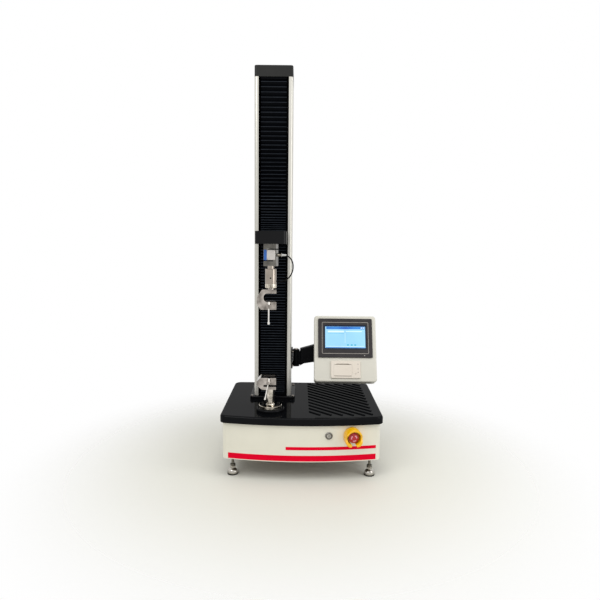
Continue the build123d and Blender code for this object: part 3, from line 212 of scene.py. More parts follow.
# Screen picture: two colours and a glow for each lit part
screen_rough = 0.25
screen_patch = 14
picture_colours = {
    "blue": ((150, 204, 236), (138, 192, 228), 0.28),
    "header": ((52, 130, 204), (22, 78, 168), 0.25),
    "pale": ((206, 228, 244), (198, 222, 240), 0.35),
    "teal": ((60, 170, 190), (50, 156, 178), 0.3),
}
# Name, left, right, bottom, top, height over the glass, thickness, corner and colour of each part
picture_parts = [
    ("back", -74, 74, 0, 81, 0, 0.25, 1.5, "blue"),
    ("header", -70, 72, 71, 80.5, 0.25, 0.15, 0.6, "header"),
    ("foot", -72, 72, 0.5, 2.5, 0.25, 0.15, 0.6, "header"),
    ("box_1", 58, 63, 74, 78, 0.4, 0.1, 0.6, "pale"),
    ("box_2", 65, 70, 74, 78, 0.4, 0.1, 0.6, "pale"),
    ("field_1", -64, -4, 59, 65, 0.25, 0.15, 0.6, "pale"),
    ("field_2", 2, 62, 61, 64, 0.25, 0.15, 0.6, "pale"),
    ("line", -64, -4, 55, 56, 0.25, 0.1, 0.4, "teal"),
    ("divider", -1, 0, 19, 57, 0.25, 0.1, 0.4, "pale"),
    ("low_line", -70, 68, 5, 6.5, 0.25, 0.1, 0.4, "pale"),
    ("key_1", 6, 13, 9, 14, 0.25, 0.2, 0.6, "teal"),
    ("key_2", 20, 27, 9, 14, 0.25, 0.2, 0.6, "teal"),
    ("key_3", 33, 40, 9, 14, 0.25, 0.2, 0.6, "teal"),
]

# Feet: turned profiles of (radius, height), and the rings of the hexagon collar
foot_x = 239
foot_rows = (-156.322, 209.678)
foot_rim_profile = [(18.2, 0.1), (18.9, 1), (18.9, 3), (17.6, 3.9), (15, 3.9)]
foot_hexagon = (11, 12, 13)
foot_profile = [
    (16, 3.2),
    (17.6, 3.6),
    (18.3, 5.5),
    (18.2, 9),
    (17.2, 13),
    (15.2, 16.6),
    (12.4, 19.4),
    (9.2, 21),
    (8.4, 22),
    (8.4, 23),
    (9, 23.6),
    (9.3, 24.2),
    (9.3, 29.2),
    (8.5, 29.9),
    (4.6, 29.9),
]

# Guard of the stop button: round above, squarer below, open at the bottom, lower where fingers reach in
guard_outer = 29
guard_inner = 23
guard_long = 39.8
guard_floor = 3
guard_hole = 11.5
guard_back = 0.2
guard_gap_half = 7.5
guard_square = 3.2
guard_soft = 1.4
guard_soft_side = 0.4
guard_soft_drop = 0.3
guard_soft_flat = 1.2
guard_dip = 7
guard_dip_half = 26
guard_dip_bend = 1.5
guard_steps = 60
guard_floor_less = 0.1

# Stop button, and the arcs on its dome, each with an arrow's head where it starts
stop_place = (170, 162)
stop_head_front = 34
stop_head_radius = 17
stop_dome = 5
arc_count = 3
arc_steps = 10
arc_sweep = 75
arc_middle = 9
arc_half_wide = 1.5
arc_thick = 0.3
arrow_steps = 3
arrow_half_wide = 3
merge_gap = 0.01

# Plates: how much of its corner a plate may lose to its softened edge
plate_corner_share = 0.8

# Socket screws: (radius, height of the head), shares of those in each head, and their places
screw_edge_share = 0.12
screw_hole_share = 0.5
screw_floor_share = 0.4
screw_hexagon = (3, 4)
collar_screw = (4.5, 3.5)
collar_screw_out = 7.5
flange_screw = (5, 3)
flange_screws = 6
flange_screw_reach = 31
back_screw = (4, 1.8)
back_screw_aside = 52
back_screw_heights = (270, 640, 1010, 1370)
bracket_screw = (3, 2.4)
bracket_thick = 5
bracket_screw_rows = (38.5, 84.5)
bracket_screw_heights = (343, 397)
housing_screw = (3.2, 1.6)
housing_screw_height = 186
housing_screw_places = (-240, -120, 0, 40, 190, 240)

# Material of each CAD node that stays
dressing = {
    "cream": ("base_housing",),
    "head": ("display_housing", "display_back"),
    # The display head takes a darker copy of the cream paint, as painted shade.
    "cover": ("top_cover",),
    "black": ("crosshead", "column_collar"),
    "arm": ("display_arm", "arm_bracket"),
    "cap": ("top_cap",),
    "plastic": ("estop_body", "power_inlet"),
    "anodised": ("column",),
    "steel": (
        "base_frame", "grip_adapter", "arm_pin", "tilt_pin", "top_bearing_plate", "lower_bearing_block",
        "guide_rails", "ball_screw", "ball_nut", "linear_blocks", "screw_pulley", "motor_pulley",
        "estop_plunger",
    ),
    "plated": ("upper_grip_frame", "lower_grip_frame", "upper_grip_screw", "lower_grip_screw"),
    "bar": ("upper_tommy_bar", "lower_tommy_bar"),
    "post": ("lower_adapter", "locking_ring"),
    "jaw": ("upper_rear_jaw", "upper_front_jaw", "lower_rear_jaw", "lower_front_jaw"),
    "chrome": ("key_barrel",),
    "stud": ("foot_studs", "foot_locknuts"),
    "table": ("load_table",),
    "cell": ("load_cell", "key_switch_bezel"),
    "gland": ("lead_glands",),
    "motor": ("drive_motor", "servo_drive", "power_switch"),
    "rubber": ("timing_belt",),
    "bezel": ("hmi_bezel",),
    "glass": ("hmi_screen",),
    "printer": ("printer_frame", "printer_door", "feed_button"),
    "paper": ("paper_roll",),
    "stop": ("estop_head",),
}


def srgb(red, green, blue):
    """A linear colour from the three numbers of a screen colour, 0 to 255."""
    def channel(value):
        share = value / 255
        return share / 12.92 if share <= 0.04045 else ((share + 0.055) / 1.055) ** 2.4
    return (channel(red), channel(green), channel(blue), 1)


def link(tree, source, target):
    """Joins two sockets."""
    tree.links.new(source, target)


def feed(tree, value, target):
    """Gives a socket a plain value, or joins another node's output to it."""
    if isinstance(value, bpy.types.NodeSocket):
        link(tree, value, target)
    else:
        target.default_value = value


def new_material(name):
    """A new material, its tree and its shader."""
    material = bpy.data.materials.new(name)
    material.use_nodes = True
    tree = material.node_tree
    return material, tree, tree.nodes["Principled BSDF"]


def noise_node(tree, scale, detail, stretch=(1, 1, 1)):
    """Noise in the object's own axes, which are the frame's axes."""
    place = tree.nodes.new("ShaderNodeTexCoord")
    mapping = tree.nodes.new("ShaderNodeMapping")
    mapping.inputs["Scale"].default_value = stretch
    noise = tree.nodes.new("ShaderNodeTexNoise")
    noise.inputs["Scale"].default_value = scale
    noise.inputs["Detail"].default_value = detail
    link(tree, place.outputs["Object"], mapping.inputs["Vector"])
    link(tree, mapping.outputs["Vector"], noise.inputs["Vector"])
    return noise.outputs["Fac"]


def range_node(tree, source, inner, outer, kind="LINEAR"):
    """Maps a number from one range to another, and keeps it inside."""
    node = tree.nodes.new("ShaderNodeMapRange")
    node.interpolation_type = kind
    node.inputs["From Min"].default_value = inner[0]
    node.inputs["From Max"].default_value = inner[1]
    node.inputs["To Min"].default_value = outer[0]
    node.inputs["To Max"].default_value = outer[1]
    link(tree, source, node.inputs["Value"])
    return node.outputs["Result"]


def math_node(tree, operation, first, second=0):
    """A sum of two numbers, each a plain value or a node's output."""
    node = tree.nodes.new("ShaderNodeMath")
    node.operation = operation
    feed(tree, first, node.inputs[0])
    feed(tree, second, node.inputs[1])
    return node.outputs["Value"]


def mix_colours(tree, factor, first, second):
    """A colour between two others, each a plain colour or a node's output."""
    node = tree.nodes.new("ShaderNodeMix")
    node.data_type = "RGBA"
    link(tree, factor, node.inputs["Factor"])
    feed(tree, first, node.inputs["A"])
    feed(tree, second, node.inputs["B"])
    return node.outputs["Result"]


def surface(
    name, colour, second, rough, bump, bump_scale, patch=12, rough_scale=60, stretch=(1, 1, 1),
    edge_wear_and_highlight=None, wear_and_highlight_share=0.6, **sockets
):
    """A material: two colours in soft patches, uneven roughness, a fine relief, and edges lightened partly as
    wear and partly as a painted highlight.
    """
    material, tree, shader = new_material(name)
    for socket, value in sockets.items():
        shader.inputs[socket.replace("_", " ")].default_value = value
    share = range_node(tree, noise_node(tree, patch, patch_detail, stretch), noise_span, (0, 1))
    result = mix_colours(tree, share, colour, second)
    if edge_wear_and_highlight:
        result = add_wear_and_highlight(tree, result, edge_wear_and_highlight, wear_and_highlight_share)
    link(tree, result, shader.inputs["Base Color"])
    grain = noise_node(tree, rough_scale, grain_detail, stretch)
    link(tree, range_node(tree, grain, noise_span, rough), shader.inputs["Roughness"])
    relief = tree.nodes.new("ShaderNodeBump")
    relief.inputs["Strength"].default_value = bump
    relief.inputs["Distance"].default_value = relief_depth * mm
    link(tree, noise_node(tree, bump_scale, relief_detail, stretch), relief.inputs["Height"])
    link(tree, relief.outputs["Normal"], shader.inputs["Normal"])
    return material


def add_wear_and_highlight(tree, colour, worn_and_lit, share):
    """Lightens a narrow band along sharp edges: partly wear from handling, partly a painted highlight where
    edges catch the light.
    """
    rounded = tree.nodes.new("ShaderNodeBevel")
    rounded.inputs["Radius"].default_value = edge_band * mm
    geometry = tree.nodes.new("ShaderNodeNewGeometry")
    likeness = tree.nodes.new("ShaderNodeVectorMath")
    likeness.operation = "DOT_PRODUCT"
    link(tree, rounded.outputs["Normal"], likeness.inputs[0])
    link(tree, geometry.outputs["Normal"], likeness.inputs[1])
    edge = range_node(tree, likeness.outputs["Value"], edge_likeness, (0, share))
    return mix_colours(tree, edge, colour, worn_and_lit)


def paint_slot_shade(material, colour):
    """Turns the walls inside the column's front slot black: partly painted shade in the recess, partly a dark
    inner finish.
    """
    tree = material.node_tree
    shader = tree.nodes["Principled BSDF"]
    base = shader.inputs["Base Color"].links[0].from_socket
    place = tree.nodes.new("ShaderNodeTexCoord")
    parts = tree.nodes.new("ShaderNodeSeparateXYZ")
    link(tree, place.outputs["Object"], parts.inputs["Vector"])
    aside = math_node(tree, "SUBTRACT", parts.outputs["X"], column_x * mm)
    aside = math_node(tree, "ABSOLUTE", aside)
    near = math_node(tree, "LESS_THAN", aside, (slot_half + film) * mm)
    behind = math_node(tree, "GREATER_THAN", parts.outputs["Y"], (column_front + film) * mm)
    before = math_node(tree, "LESS_THAN", parts.outputs["Y"], (column_back - film) * mm)
    inside = math_node(tree, "MULTIPLY", near, behind)
    inside = math_node(tree, "MULTIPLY", inside, before)
    link(tree, mix_colours(tree, inside, base, colour), shader.inputs["Base Color"])


def turned_rings(material, centre, pitch, strength):
    """Fine turning marks in rings round an upright axis, laid under the material's relief."""
    tree = material.node_tree
    relief = next(node for node in tree.nodes if node.bl_idname == "ShaderNodeBump")
    place = tree.nodes.new("ShaderNodeTexCoord")
    mapping = tree.nodes.new("ShaderNodeMapping")
    mapping.inputs["Location"].default_value = (-centre[0] * mm, -centre[1] * mm, 0)
    wave = tree.nodes.new("ShaderNodeTexWave")
    wave.wave_type = "RINGS"
    wave.rings_direction = "Z"
    wave.inputs["Scale"].default_value = 1 / (pitch * mm * wave_factor)
    wave.inputs["Distortion"].default_value = ring_unevenness
    link(tree, place.outputs["Object"], mapping.inputs["Vector"])
    link(tree, mapping.outputs["Vector"], wave.inputs["Vector"])
    rings = tree.nodes.new("ShaderNodeBump")
    rings.inputs["Strength"].default_value = strength
    rings.inputs["Distance"].default_value = pitch * mm * ring_depth_share
    link(tree, wave.outputs["Fac"], rings.inputs["Height"])
    link(tree, rings.outputs["Normal"], relief.inputs["Normal"])


def lit(name, colour, second, glow):
    """A lit part of the screen's picture: a faint gradient that gives its own light."""
    material, tree, shader = new_material(name)
    shader.inputs["Roughness"].default_value = screen_rough
    shader.inputs["Emission Strength"].default_value = glow
    share = range_node(tree, noise_node(tree, screen_patch, 1), noise_span, (0, 1))
    result = mix_colours(tree, share, colour, second)
    link(tree, result, shader.inputs["Base Color"])
    link(tree, result, shader.inputs["Emission Color"])
    return material


def paints_and_plastics():
    """Painted, moulded and printed materials by name."""
    dull = {"Specular_IOR_Level": 0.12}
    paint = {"Coat_Weight": 0.25, "Coat_Roughness": 0.2}
    return {
        "cream": surface(
            "cream_paint", srgb(233, 230, 214), srgb(228, 225, 209),
            rough=(0.3, 0.42), bump=0.12, bump_scale=700, **paint),
        # The base's cream made darker, as painted shade against the extra light on the head's tilted face.
        "head": surface(
            "head_paint_shaded", srgb(211, 208, 196), srgb(206, 203, 191),
            rough=(0.3, 0.42), bump=0.12, bump_scale=700, **paint),
        "cover": surface(
            "cover_black", srgb(13, 14, 16), srgb(9, 10, 12),
            rough=(0.3, 0.4), rough_scale=18, bump=0.05, bump_scale=500,
            Specular_IOR_Level=0.0, Coat_Weight=0.16, Coat_Roughness=0.04),
        # Its lighter edges are partly wear and partly a painted highlight.
        "black": surface(
            "satin_black", srgb(13, 13, 15), srgb(9, 9, 11),
            rough=(0.28, 0.42), bump=0.15, bump_scale=1100, edge_wear_and_highlight=srgb(70, 70, 72), wear_and_highlight_share=0.3,
            Specular_IOR_Level=0.0, Coat_Weight=0.3, Coat_Roughness=0.1),
        "cap": surface(
            "cap_black", srgb(42, 42, 41), srgb(35, 35, 34),
            rough=(0.35, 0.5), bump=0.2, bump_scale=1400, **dull),
        "arm": surface(
            "arm_black", srgb(8, 9, 11), srgb(5, 6, 8),
            rough=(0.4, 0.55), bump=0.2, bump_scale=1200, Specular_IOR_Level=0.06),
        "plastic": surface(
            "moulded_black", srgb(22, 22, 23), srgb(15, 15, 16),
            rough=(0.4, 0.55), bump=0.25, bump_scale=1600, **dull),
        "motor": surface(
            "motor_black", srgb(44, 45, 48), srgb(36, 37, 40),
            rough=(0.4, 0.5), bump=0.2, bump_scale=1200, **dull),
        "blue": surface(
            "blue_film", srgb(40, 104, 186), srgb(34, 90, 168),
            patch=60, rough=(0.3, 0.4), bump=0.04, bump_scale=800),
        "red": surface(
            "red_film", srgb(234, 0, 45), srgb(226, 0, 41),
            patch=20, rough=(0.3, 0.4), bump=0.04, bump_scale=900, Specular_IOR_Level=0.05),
        "bellows": surface(
            "bellows_cloth", srgb(4, 5, 9), srgb(2, 3, 5),
            patch=40, rough=(0.42, 0.56), stretch=(1, 1, 3), bump=0.3, bump_scale=1800,
            Specular_IOR_Level=0.04),
        # Lighter crests: a painted highlight along each pleat's front lip.
        "crest": surface(
            "bellows_crest_highlight", srgb(46, 51, 58), srgb(30, 34, 40),
            patch=30, rough=(0.4, 0.5), stretch=(1, 1, 3), bump=0.2, bump_scale=1800, **dull),
        "rubber": surface(
            "black_rubber", srgb(18, 18, 18), srgb(12, 12, 12),
            patch=60, rough=(0.38, 0.5), bump=0.1, bump_scale=1500, **dull),
        "boot": surface(
            "pale_boot", srgb(214, 214, 210), srgb(196, 196, 192),
            patch=70, rough=(0.35, 0.45), bump=0.05, bump_scale=900),
        "bezel": surface(
            "bezel_grey", srgb(64, 61, 61), srgb(50, 48, 49),
            patch=16, rough=(0.3, 0.42), bump=0.2, bump_scale=1600, **dull),
        "glass": surface(
            "screen_glass", srgb(16, 34, 60), srgb(13, 28, 52),
            patch=8, rough=(0.06, 0.12), bump=0.02, bump_scale=200, Specular_IOR_Level=0.3),
        "printer": surface(
            "printer_cream", srgb(223, 214, 201), srgb(218, 208, 194),
            rough=(0.36, 0.46), bump=0.2, bump_scale=1500),
        "paper": surface(
            "paper", srgb(240, 240, 234), srgb(232, 231, 224),
            patch=90, rough=(0.7, 0.8), bump=0.2, bump_scale=2600),
        "guard": surface(
            "guard_yellow", srgb(250, 193, 3), srgb(243, 179, 1),
            patch=14, rough=(0.24, 0.34), bump=0.08, bump_scale=900, **paint),
        "stop": surface(
            "stop_red", srgb(176, 14, 20), srgb(160, 10, 16),
            patch=20, rough=(0.2, 0.3), bump=0.05, bump_scale=800, **paint),
        "mark": surface(
            "pale_mark", srgb(236, 176, 188), srgb(226, 160, 174),
            patch=40, rough=(0.3, 0.4), bump=0.03, bump_scale=900),
        "grey_mark": surface(
            "grey_mark", srgb(120, 112, 108), srgb(104, 98, 94),
            patch=60, rough=(0.4, 0.5), bump=0.05, bump_scale=900),
    }


def metals():
    """Metal materials by name."""
    alloy = {"Metallic": 1.0}
    # The lighter edge colour given to a metal is partly wear and partly a painted highlight.
    return {
        "anodised": surface(
            "anodised_column", srgb(206, 203, 194), srgb(192, 190, 182),
            patch=5, rough=(0.28, 0.38), rough_scale=30, stretch=(9, 9, 0.25), bump=0.06, bump_scale=160,
            Metallic=0.6),
        "steel": surface(
            "turned_steel", srgb(168, 158, 147), srgb(134, 126, 117),
            patch=22, rough=(0.1, 0.16), bump=0.02, bump_scale=300,
            edge_wear_and_highlight=srgb(228, 222, 214), wear_and_highlight_share=0.75, **alloy),
        "table": surface(
            "turned_table", srgb(226, 218, 208), srgb(204, 196, 186),
            patch=30, rough=(0.36, 0.46), rough_scale=70, bump=0.03, bump_scale=300,
            edge_wear_and_highlight=srgb(240, 236, 228), **alloy),
        # Its strongly bright and dark patches are painted reflections.
        "plated": surface(
            "plated_grip_painted_reflections", srgb(196, 188, 180), srgb(92, 86, 80),
            patch=36, rough=(0.08, 0.18), rough_scale=70, bump=0.06, bump_scale=500,
            edge_wear_and_highlight=srgb(232, 227, 220), wear_and_highlight_share=0.8, **alloy),
        "bar": surface(
            "polished_bar", srgb(244, 241, 236), srgb(206, 201, 193),
            patch=60, rough=(0.08, 0.18), bump=0.03, bump_scale=400, **alloy),
        # Its strongly bright and dark patches are painted reflections.
        "post": surface(
            "polished_post_painted_reflections", srgb(236, 228, 213), srgb(92, 85, 74),
            patch=44, rough=(0.08, 0.18), bump=0.05, bump_scale=400,
            edge_wear_and_highlight=srgb(250, 244, 232), wear_and_highlight_share=0.8, **alloy),
        "jaw": surface(
            "ground_jaw", srgb(110, 106, 102), srgb(84, 80, 77),
            patch=50, rough=(0.3, 0.45), stretch=(1, 1, 7), bump=0.15, bump_scale=500, **alloy),
        "chrome": surface(
            "chrome", srgb(196, 192, 184), srgb(150, 146, 140),
            patch=40, rough=(0.08, 0.18), bump=0.03, bump_scale=300, **alloy),
        "stud": surface(
            "oiled_stud", srgb(122, 119, 110), srgb(92, 89, 82),
            patch=60, rough=(0.2, 0.34), stretch=(1, 1, 5), bump=0.2, bump_scale=500, **alloy),
        "cell": surface(
            "cell_alloy", srgb(120, 117, 111), srgb(86, 84, 79),
            patch=40, rough=(0.24, 0.36), bump=0.08, bump_scale=500,
            edge_wear_and_highlight=srgb(206, 204, 198), wear_and_highlight_share=0.7, **alloy),
        "plate": surface(
            "cell_cover", srgb(206, 201, 196), srgb(188, 183, 178),
            patch=40, rough=(0.25, 0.35), bump=0.05, bump_scale=700, Metallic=0.4),
        "gland": surface(
            "nickel_gland", srgb(150, 144, 132), srgb(118, 112, 102),
            patch=60, rough=(0.2, 0.32), bump=0.06, bump_scale=700, **alloy),
        "trim": surface(
            "bezel_line", srgb(186, 180, 172), srgb(160, 154, 148),
            patch=20, rough=(0.25, 0.35), bump=0.05, bump_scale=900, Metallic=0.4),
    }


def dress_nodes(materials):
    """Gives the CAD nodes their materials."""
    for name, nodes in dressing.items():
        for node in nodes:
            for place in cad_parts[node].material_slots:
                place.link = "OBJECT"
                place.material = materials[name]


def facing(place, normal, up=(0, 0, 1)):
    """A matrix, in metres, with its Z along a normal and its Y near an up direction."""
    z = Vector(normal).normalized()
    x = Vector(up).cross(z).normalized()
    y = z.cross(x)
    matrix = Matrix((x, y, z)).transposed().to_4x4()
    matrix.translation = Vector(place) * mm
    return matrix


def standing(place):
    """A matrix, in metres, for a piece that stands on a level face."""
    return facing(place, (0, 0, 1), (0, 1, 0))


def add_piece(name, mesh, place, material, body):
    """Adds a mesh drawn in millimetres as a piece that rides on a body."""
    mesh.transform(Matrix.Scale(mm, 4))
    mesh.transform(place)
    mesh.materials.append(material)
    piece = bpy.data.objects.new(name, mesh)
    bpy.context.scene.collection.objects.link(piece)
    mesh.shade_smooth()
    mesh.set_sharp_from_angle(angle=radians(smooth_angle))
    if body:
        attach(piece, body)
    return piece


def mesh_of(name, shape):
    """A mesh from a bmesh, with its faces turned outwards."""
    bmesh.ops.recalc_face_normals(shape, faces=shape.faces)
    mesh = bpy.data.meshes.new(name)
    shape.to_mesh(mesh)
    shape.free()
    return mesh


def join_rings(shape, rings, closed=False):
    """Faces between each ring of corners and the next, with end caps unless the rings close in a loop."""
    count = len(rings[0])
    following = rings[1:] + rings[:1] if closed else rings[1:]
    for here, after in zip(rings, following):
        for corner in range(count):
            other = (corner + 1) % count
            shape.faces.new((here[corner], here[other], after[other], after[corner]))
    if not closed:
        shape.faces.new(rings[0])
        shape.faces.new(rings[-1])


def turned(name, profile, place, material, body, hexagon=()):
    """A turned piece: a profile of (radius, height) round Z. Rings listed in hexagon are six-sided."""
    shape = bmesh.new()
    rings = []
    for number, (radius, height) in enumerate(profile):
        ring = []
        for step in range(sides):
            angle = 2 * pi * step / sides
            reach = radius
            if number in hexagon:
                reach = radius / cos((angle + pi / 6) % (pi / 3) - pi / 6)
            ring.append(shape.verts.new((reach * cos(angle), reach * sin(angle), height)))
        rings.append(ring)
    join_rings(shape, rings)
    return add_piece(name, mesh_of(name, shape), place, material, body)


def socket_screw(name, size, place, material, body):
    """A socket head screw, its head standing on Z = 0."""
    radius, tall = size
    edge = radius * screw_edge_share
    hole = radius * screw_hole_share
    profile = [
        (radius, 0),
        (radius, tall - edge),
        (radius - edge, tall),
        (hole, tall),
        (hole, tall * screw_floor_share),
    ]
    return turned(name, profile, place, material, body, screw_hexagon)


def outline(width, height, corner):
    """Points of a rectangle with rounded corners, centred on the origin."""
    points = []
    centres = [(1, 1, 0), (-1, 1, 1), (-1, -1, 2), (1, -1, 3)]
    for sx, sy, quarter in centres:
        for step in range(corner_steps + 1):
            angle = (quarter + step / corner_steps) * pi / 2
            points.append((
                sx * (width / 2 - corner) + corner * cos(angle),
                sy * (height / 2 - corner) + corner * sin(angle),
            ))
    return points


def outline_ring(shape, size, corner, inset, less, level):
    """One ring of corners: a rounded rectangle, inset, with its own corner radius made less."""
    width, height = size
    points = outline(width - 2 * inset, height - 2 * inset, corner - less)
    return [shape.verts.new((x, y, level)) for x, y in points]


def plate(name, size, thick, corner, edge, place, material, body):
    """A plate with rounded corners and a softened front edge, its back on Z = 0."""
    shape = bmesh.new()
    rings = []
    for inset, level in [(0, 0), (0, thick - edge), (edge, thick)]:
        less = min(inset, corner * plate_corner_share)
        rings.append(outline_ring(shape, size, corner, inset, less, level))
    join_rings(shape, rings)
    return add_piece(name, mesh_of(name, shape), place, material, body)


def band_ring(name, size, line, thick, corner, place, material, body):
    """A thin raised line that follows a rounded rectangle."""
    shape = bmesh.new()
    rings = []
    for inset, level in [(0, 0), (0, thick), (line, thick), (line, 0)]:
        rings.append(outline_ring(shape, size, corner, inset, inset, level))
    join_rings(shape, rings, closed=True)
    return add_piece(name, mesh_of(name, shape), place, material, body)


def on_front(x, z, out=0):
    """A point on the bowed front, and the wall's outward direction there."""
    turn = asin(x / bow_radius)
    normal = Vector((sin(turn), -cos(turn), 0))
    point = Vector((x, bow_front + bow_radius * (1 - cos(turn)), z))
    return point + normal * out, normal


def add_stripe(name, left, right, heights, material):
    """A red film on the bowed front."""
    shape = bmesh.new()
    low, high = heights
    sections = []
    for step in range(stripe_steps + 1):
        x = left + (right - left) * step / stripe_steps
        section = []
        for out, z in [(0, low), (stripe_thick, low), (stripe_thick, high), (0, high)]:
            point, normal = on_front(x, z, out)
            section.append(shape.verts.new(point))
        sections.append(section)
    join_rings(shape, sections)
    return add_piece(name, mesh_of(name, shape), Matrix.Identity(4), material, "machine")


def pleat_levels(low, high, pleats, grade):
    """Heights of the pleats' crests, the pleats wider towards the top."""
    return [low + (high - low) * (number / pleats) ** grade for number in range(pleats + 1)]


def pleat_profile(levels):
    """Front outline of a stack of pleats as (y, z) points, each crest a narrow rounded lip."""
    valley = bellows_front + bellows_fold
    points = []
    for here, after in zip(levels, levels[1:]):
        pitch = after - here
        middle = (here + after) / 2
        lip = pleat_lip_share * pitch
        soft = pleat_round_share * pitch
        points.append((bellows_front + soft, here))
        points.append((bellows_front, here + soft))
        points.append((bellows_front, here + lip))
        points.append((bellows_front + soft, here + lip + soft))
        points.append((valley - soft, middle - soft))
        points.append((valley, middle))
        points.append((valley - soft, middle + soft))
    points.append((bellows_front + pleat_round_share * pitch, levels[-1]))
    return points


def add_band(name, levels, node, materials):
    """A band of pleats, one of those cut between the machine's end and the carriage's end."""
    shape = bmesh.new()
    profile = pleat_profile(levels)
    profile += [(bellows_back, levels[-1]), (bellows_back, levels[0])]
    half = bellows_width / 2
    rows = []
    for x in (column_x - half, column_x + half):
        rows.append([shape.verts.new((x, y, z)) for y, z in profile])
    join_rings(shape, rows)
    bmesh.ops.triangulate(shape, faces=[face for face in shape.faces if len(face.verts) > 4])
    # Faces on the pleats' front lips take the lighter crest material, a painted highlight.
    lip = bellows_front + pleat_lip_reach
    for face in shape.faces:
        face.material_index = int(all(vertex.co.y < lip for vertex in face.verts))
    mesh = mesh_of(name, shape)
    piece = add_piece(name, mesh, Matrix.Identity(4), materials["bellows"], None)
    mesh.materials.append(materials["crest"])
    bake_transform(piece)
    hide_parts(node)


def add_bellows(node, low, high, pleats, grade, fixed, moving, materials):
    """One bellows: bands of pleats between two clamping bars."""
    levels = pleat_levels(low, high, pleats, grade)
    cuts = set()
    for share in band_shares:
        target = fixed + share * (moving - fixed)
        cuts.add(min(range(pleats + 1), key=lambda number: abs(levels[number] - target)))
    cuts = sorted(cuts)
    for number, (here, after) in enumerate(zip(cuts, cuts[1:]), 1):
        add_band(f"{node}_band_{number}", levels[here:after + 1], node, materials)
    for end, level, body in (("fixed", fixed, "machine"), ("moving", moving, "carriage")):
        inward = 1 if level == low else -1
        middle = level + inward * bellows_bar / 2
        place = facing((column_x, bellows_front + bellows_fold, middle), (0, -1, 0))
        size = (bellows_width + bellows_bar_over, bellows_bar - film)
        plate(
            f"{node}_bar_{end}", size, bellows_fold + bellows_bar_proud, bellows_bar_corner,
            bellows_bar_edge, place, materials["bellows"], body,
        )


def add_lead(materials):
    """The load cell's lead and the boot where it leaves the cell's gland."""
    points = [Vector((column_x + x, load_y + y, z)) * mm for x, y, z in lead_points]
    curve = bpy.data.curves.new("cell_lead", "CURVE")
    curve.dimensions = "3D"
    curve.bevel_depth = lead_radius * mm
    curve.bevel_resolution = lead_round
    curve.use_fill_caps = True
    spline = curve.splines.new("NURBS")
    spline.points.add(len(points) - 1)
    for control, point in zip(spline.points, points):
        control.co = (*point, 1)
    spline.order_u = 3
    spline.use_endpoint_u = True
    spline.resolution_u = lead_smooth
    curve.materials.append(materials["rubber"])
    lead = bpy.data.objects.new("cell_lead", curve)
    bpy.context.scene.collection.objects.link(lead)
    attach(lead, "carriage")
    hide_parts("load_cell_lead")
    place = facing(points[0] / mm, points[1] - points[0])
    boot = turned("lead_boot", boot_profile, place, materials["boot"], "carriage")


def add_cell_trim(materials):
    """The load cell's plain cover plate with its screws, and its blue strip."""
    turn = radians(cell_turn)
    along = Vector((cos(turn), sin(turn), 0))
    normal = Vector((sin(turn), -cos(turn), 0))
    middle = Vector((column_x, load_y, cell_middle)) + normal * cell_half_thick
    plate(
        "cell_cover_plate", cell_plate_size, cell_plate_thick, cell_plate_corner, cell_plate_soft,
        facing(middle + along * cell_plate_x, normal), materials["plate"], "carriage",
    )
    plate(
        "cell_blue_strip", cell_strip_size, cell_strip_thick, cell_strip_corner, cell_strip_soft,
        facing(middle + along * cell_strip_x, normal), materials["blue"], "carriage",
    )
    for number, (sx, sz) in enumerate(corners, 1):
        aside = cell_plate_x + sx * (cell_plate_size[0] / 2 - cell_screw_inset)
        above = sz * (cell_plate_size[1] / 2 - cell_screw_inset)
        spot = middle + along * aside + Vector((0, 0, above)) + normal * cell_plate_thick
        name = f"cell_plate_screw_{number}"
        socket_screw(name, cell_screw, facing(spot, normal), materials["steel"], "carriage")


def add_display_trim(materials):
    """Screen picture, bezel line, printer marks and back screws of the display head."""
    lean = radians(display_lean)
    up = Vector((0, sin(lean), cos(lean)))
    normal = Vector((0, -cos(lean), sin(lean)))

    def spot(x, z, out, direction=normal):
        return facing(Vector(display_place) + Vector((x, 0, 0)) + up * z + normal * out, direction, up)

    inset = 2 * hmi_line_inset + film
    band_ring(
        "bezel_line", (hmi_size[0] - inset, hmi_size[1] - inset), hmi_line_width - film, hmi_line_thick,
        hmi_corner, spot(0, hmi_middle, hmi_proud - hmi_line_sunk), materials["trim"], "display",
    )
    lights = {}
    for name, (colour, second, glow) in picture_colours.items():
        lights[name] = lit(f"picture_{name}", srgb(*colour), srgb(*second), glow)
    glass = hmi_proud - screen_recess
    for name, left, right, bottom, top, over, thick, corner, light in picture_parts:
        place = spot((left + right) / 2, (bottom + top) / 2, glass + over)
        plate(
            f"picture_{name}", (right - left, top - bottom), thick, corner, thick / 3, place,
            lights[light], "display",
        )
    turned("bezel_lamp", bezel_lamp_profile, spot(*bezel_lamp_place, hmi_proud), materials["plate"],
           "display")
    for number, z in enumerate(printer_mark_rows, 1):
        place = spot(printer_mark_x, z, printer_proud)
        turned(f"printer_mark_{number}", printer_mark_profile, place, materials["grey_mark"], "display")
    aside, above = display_screw_reach
    for number, (sx, sz) in enumerate(corners, 1):
        place = spot(sx * aside, sz * above, -display_depth, -normal)
        socket_screw(f"display_back_screw_{number}", display_screw, place, materials["steel"], "display")


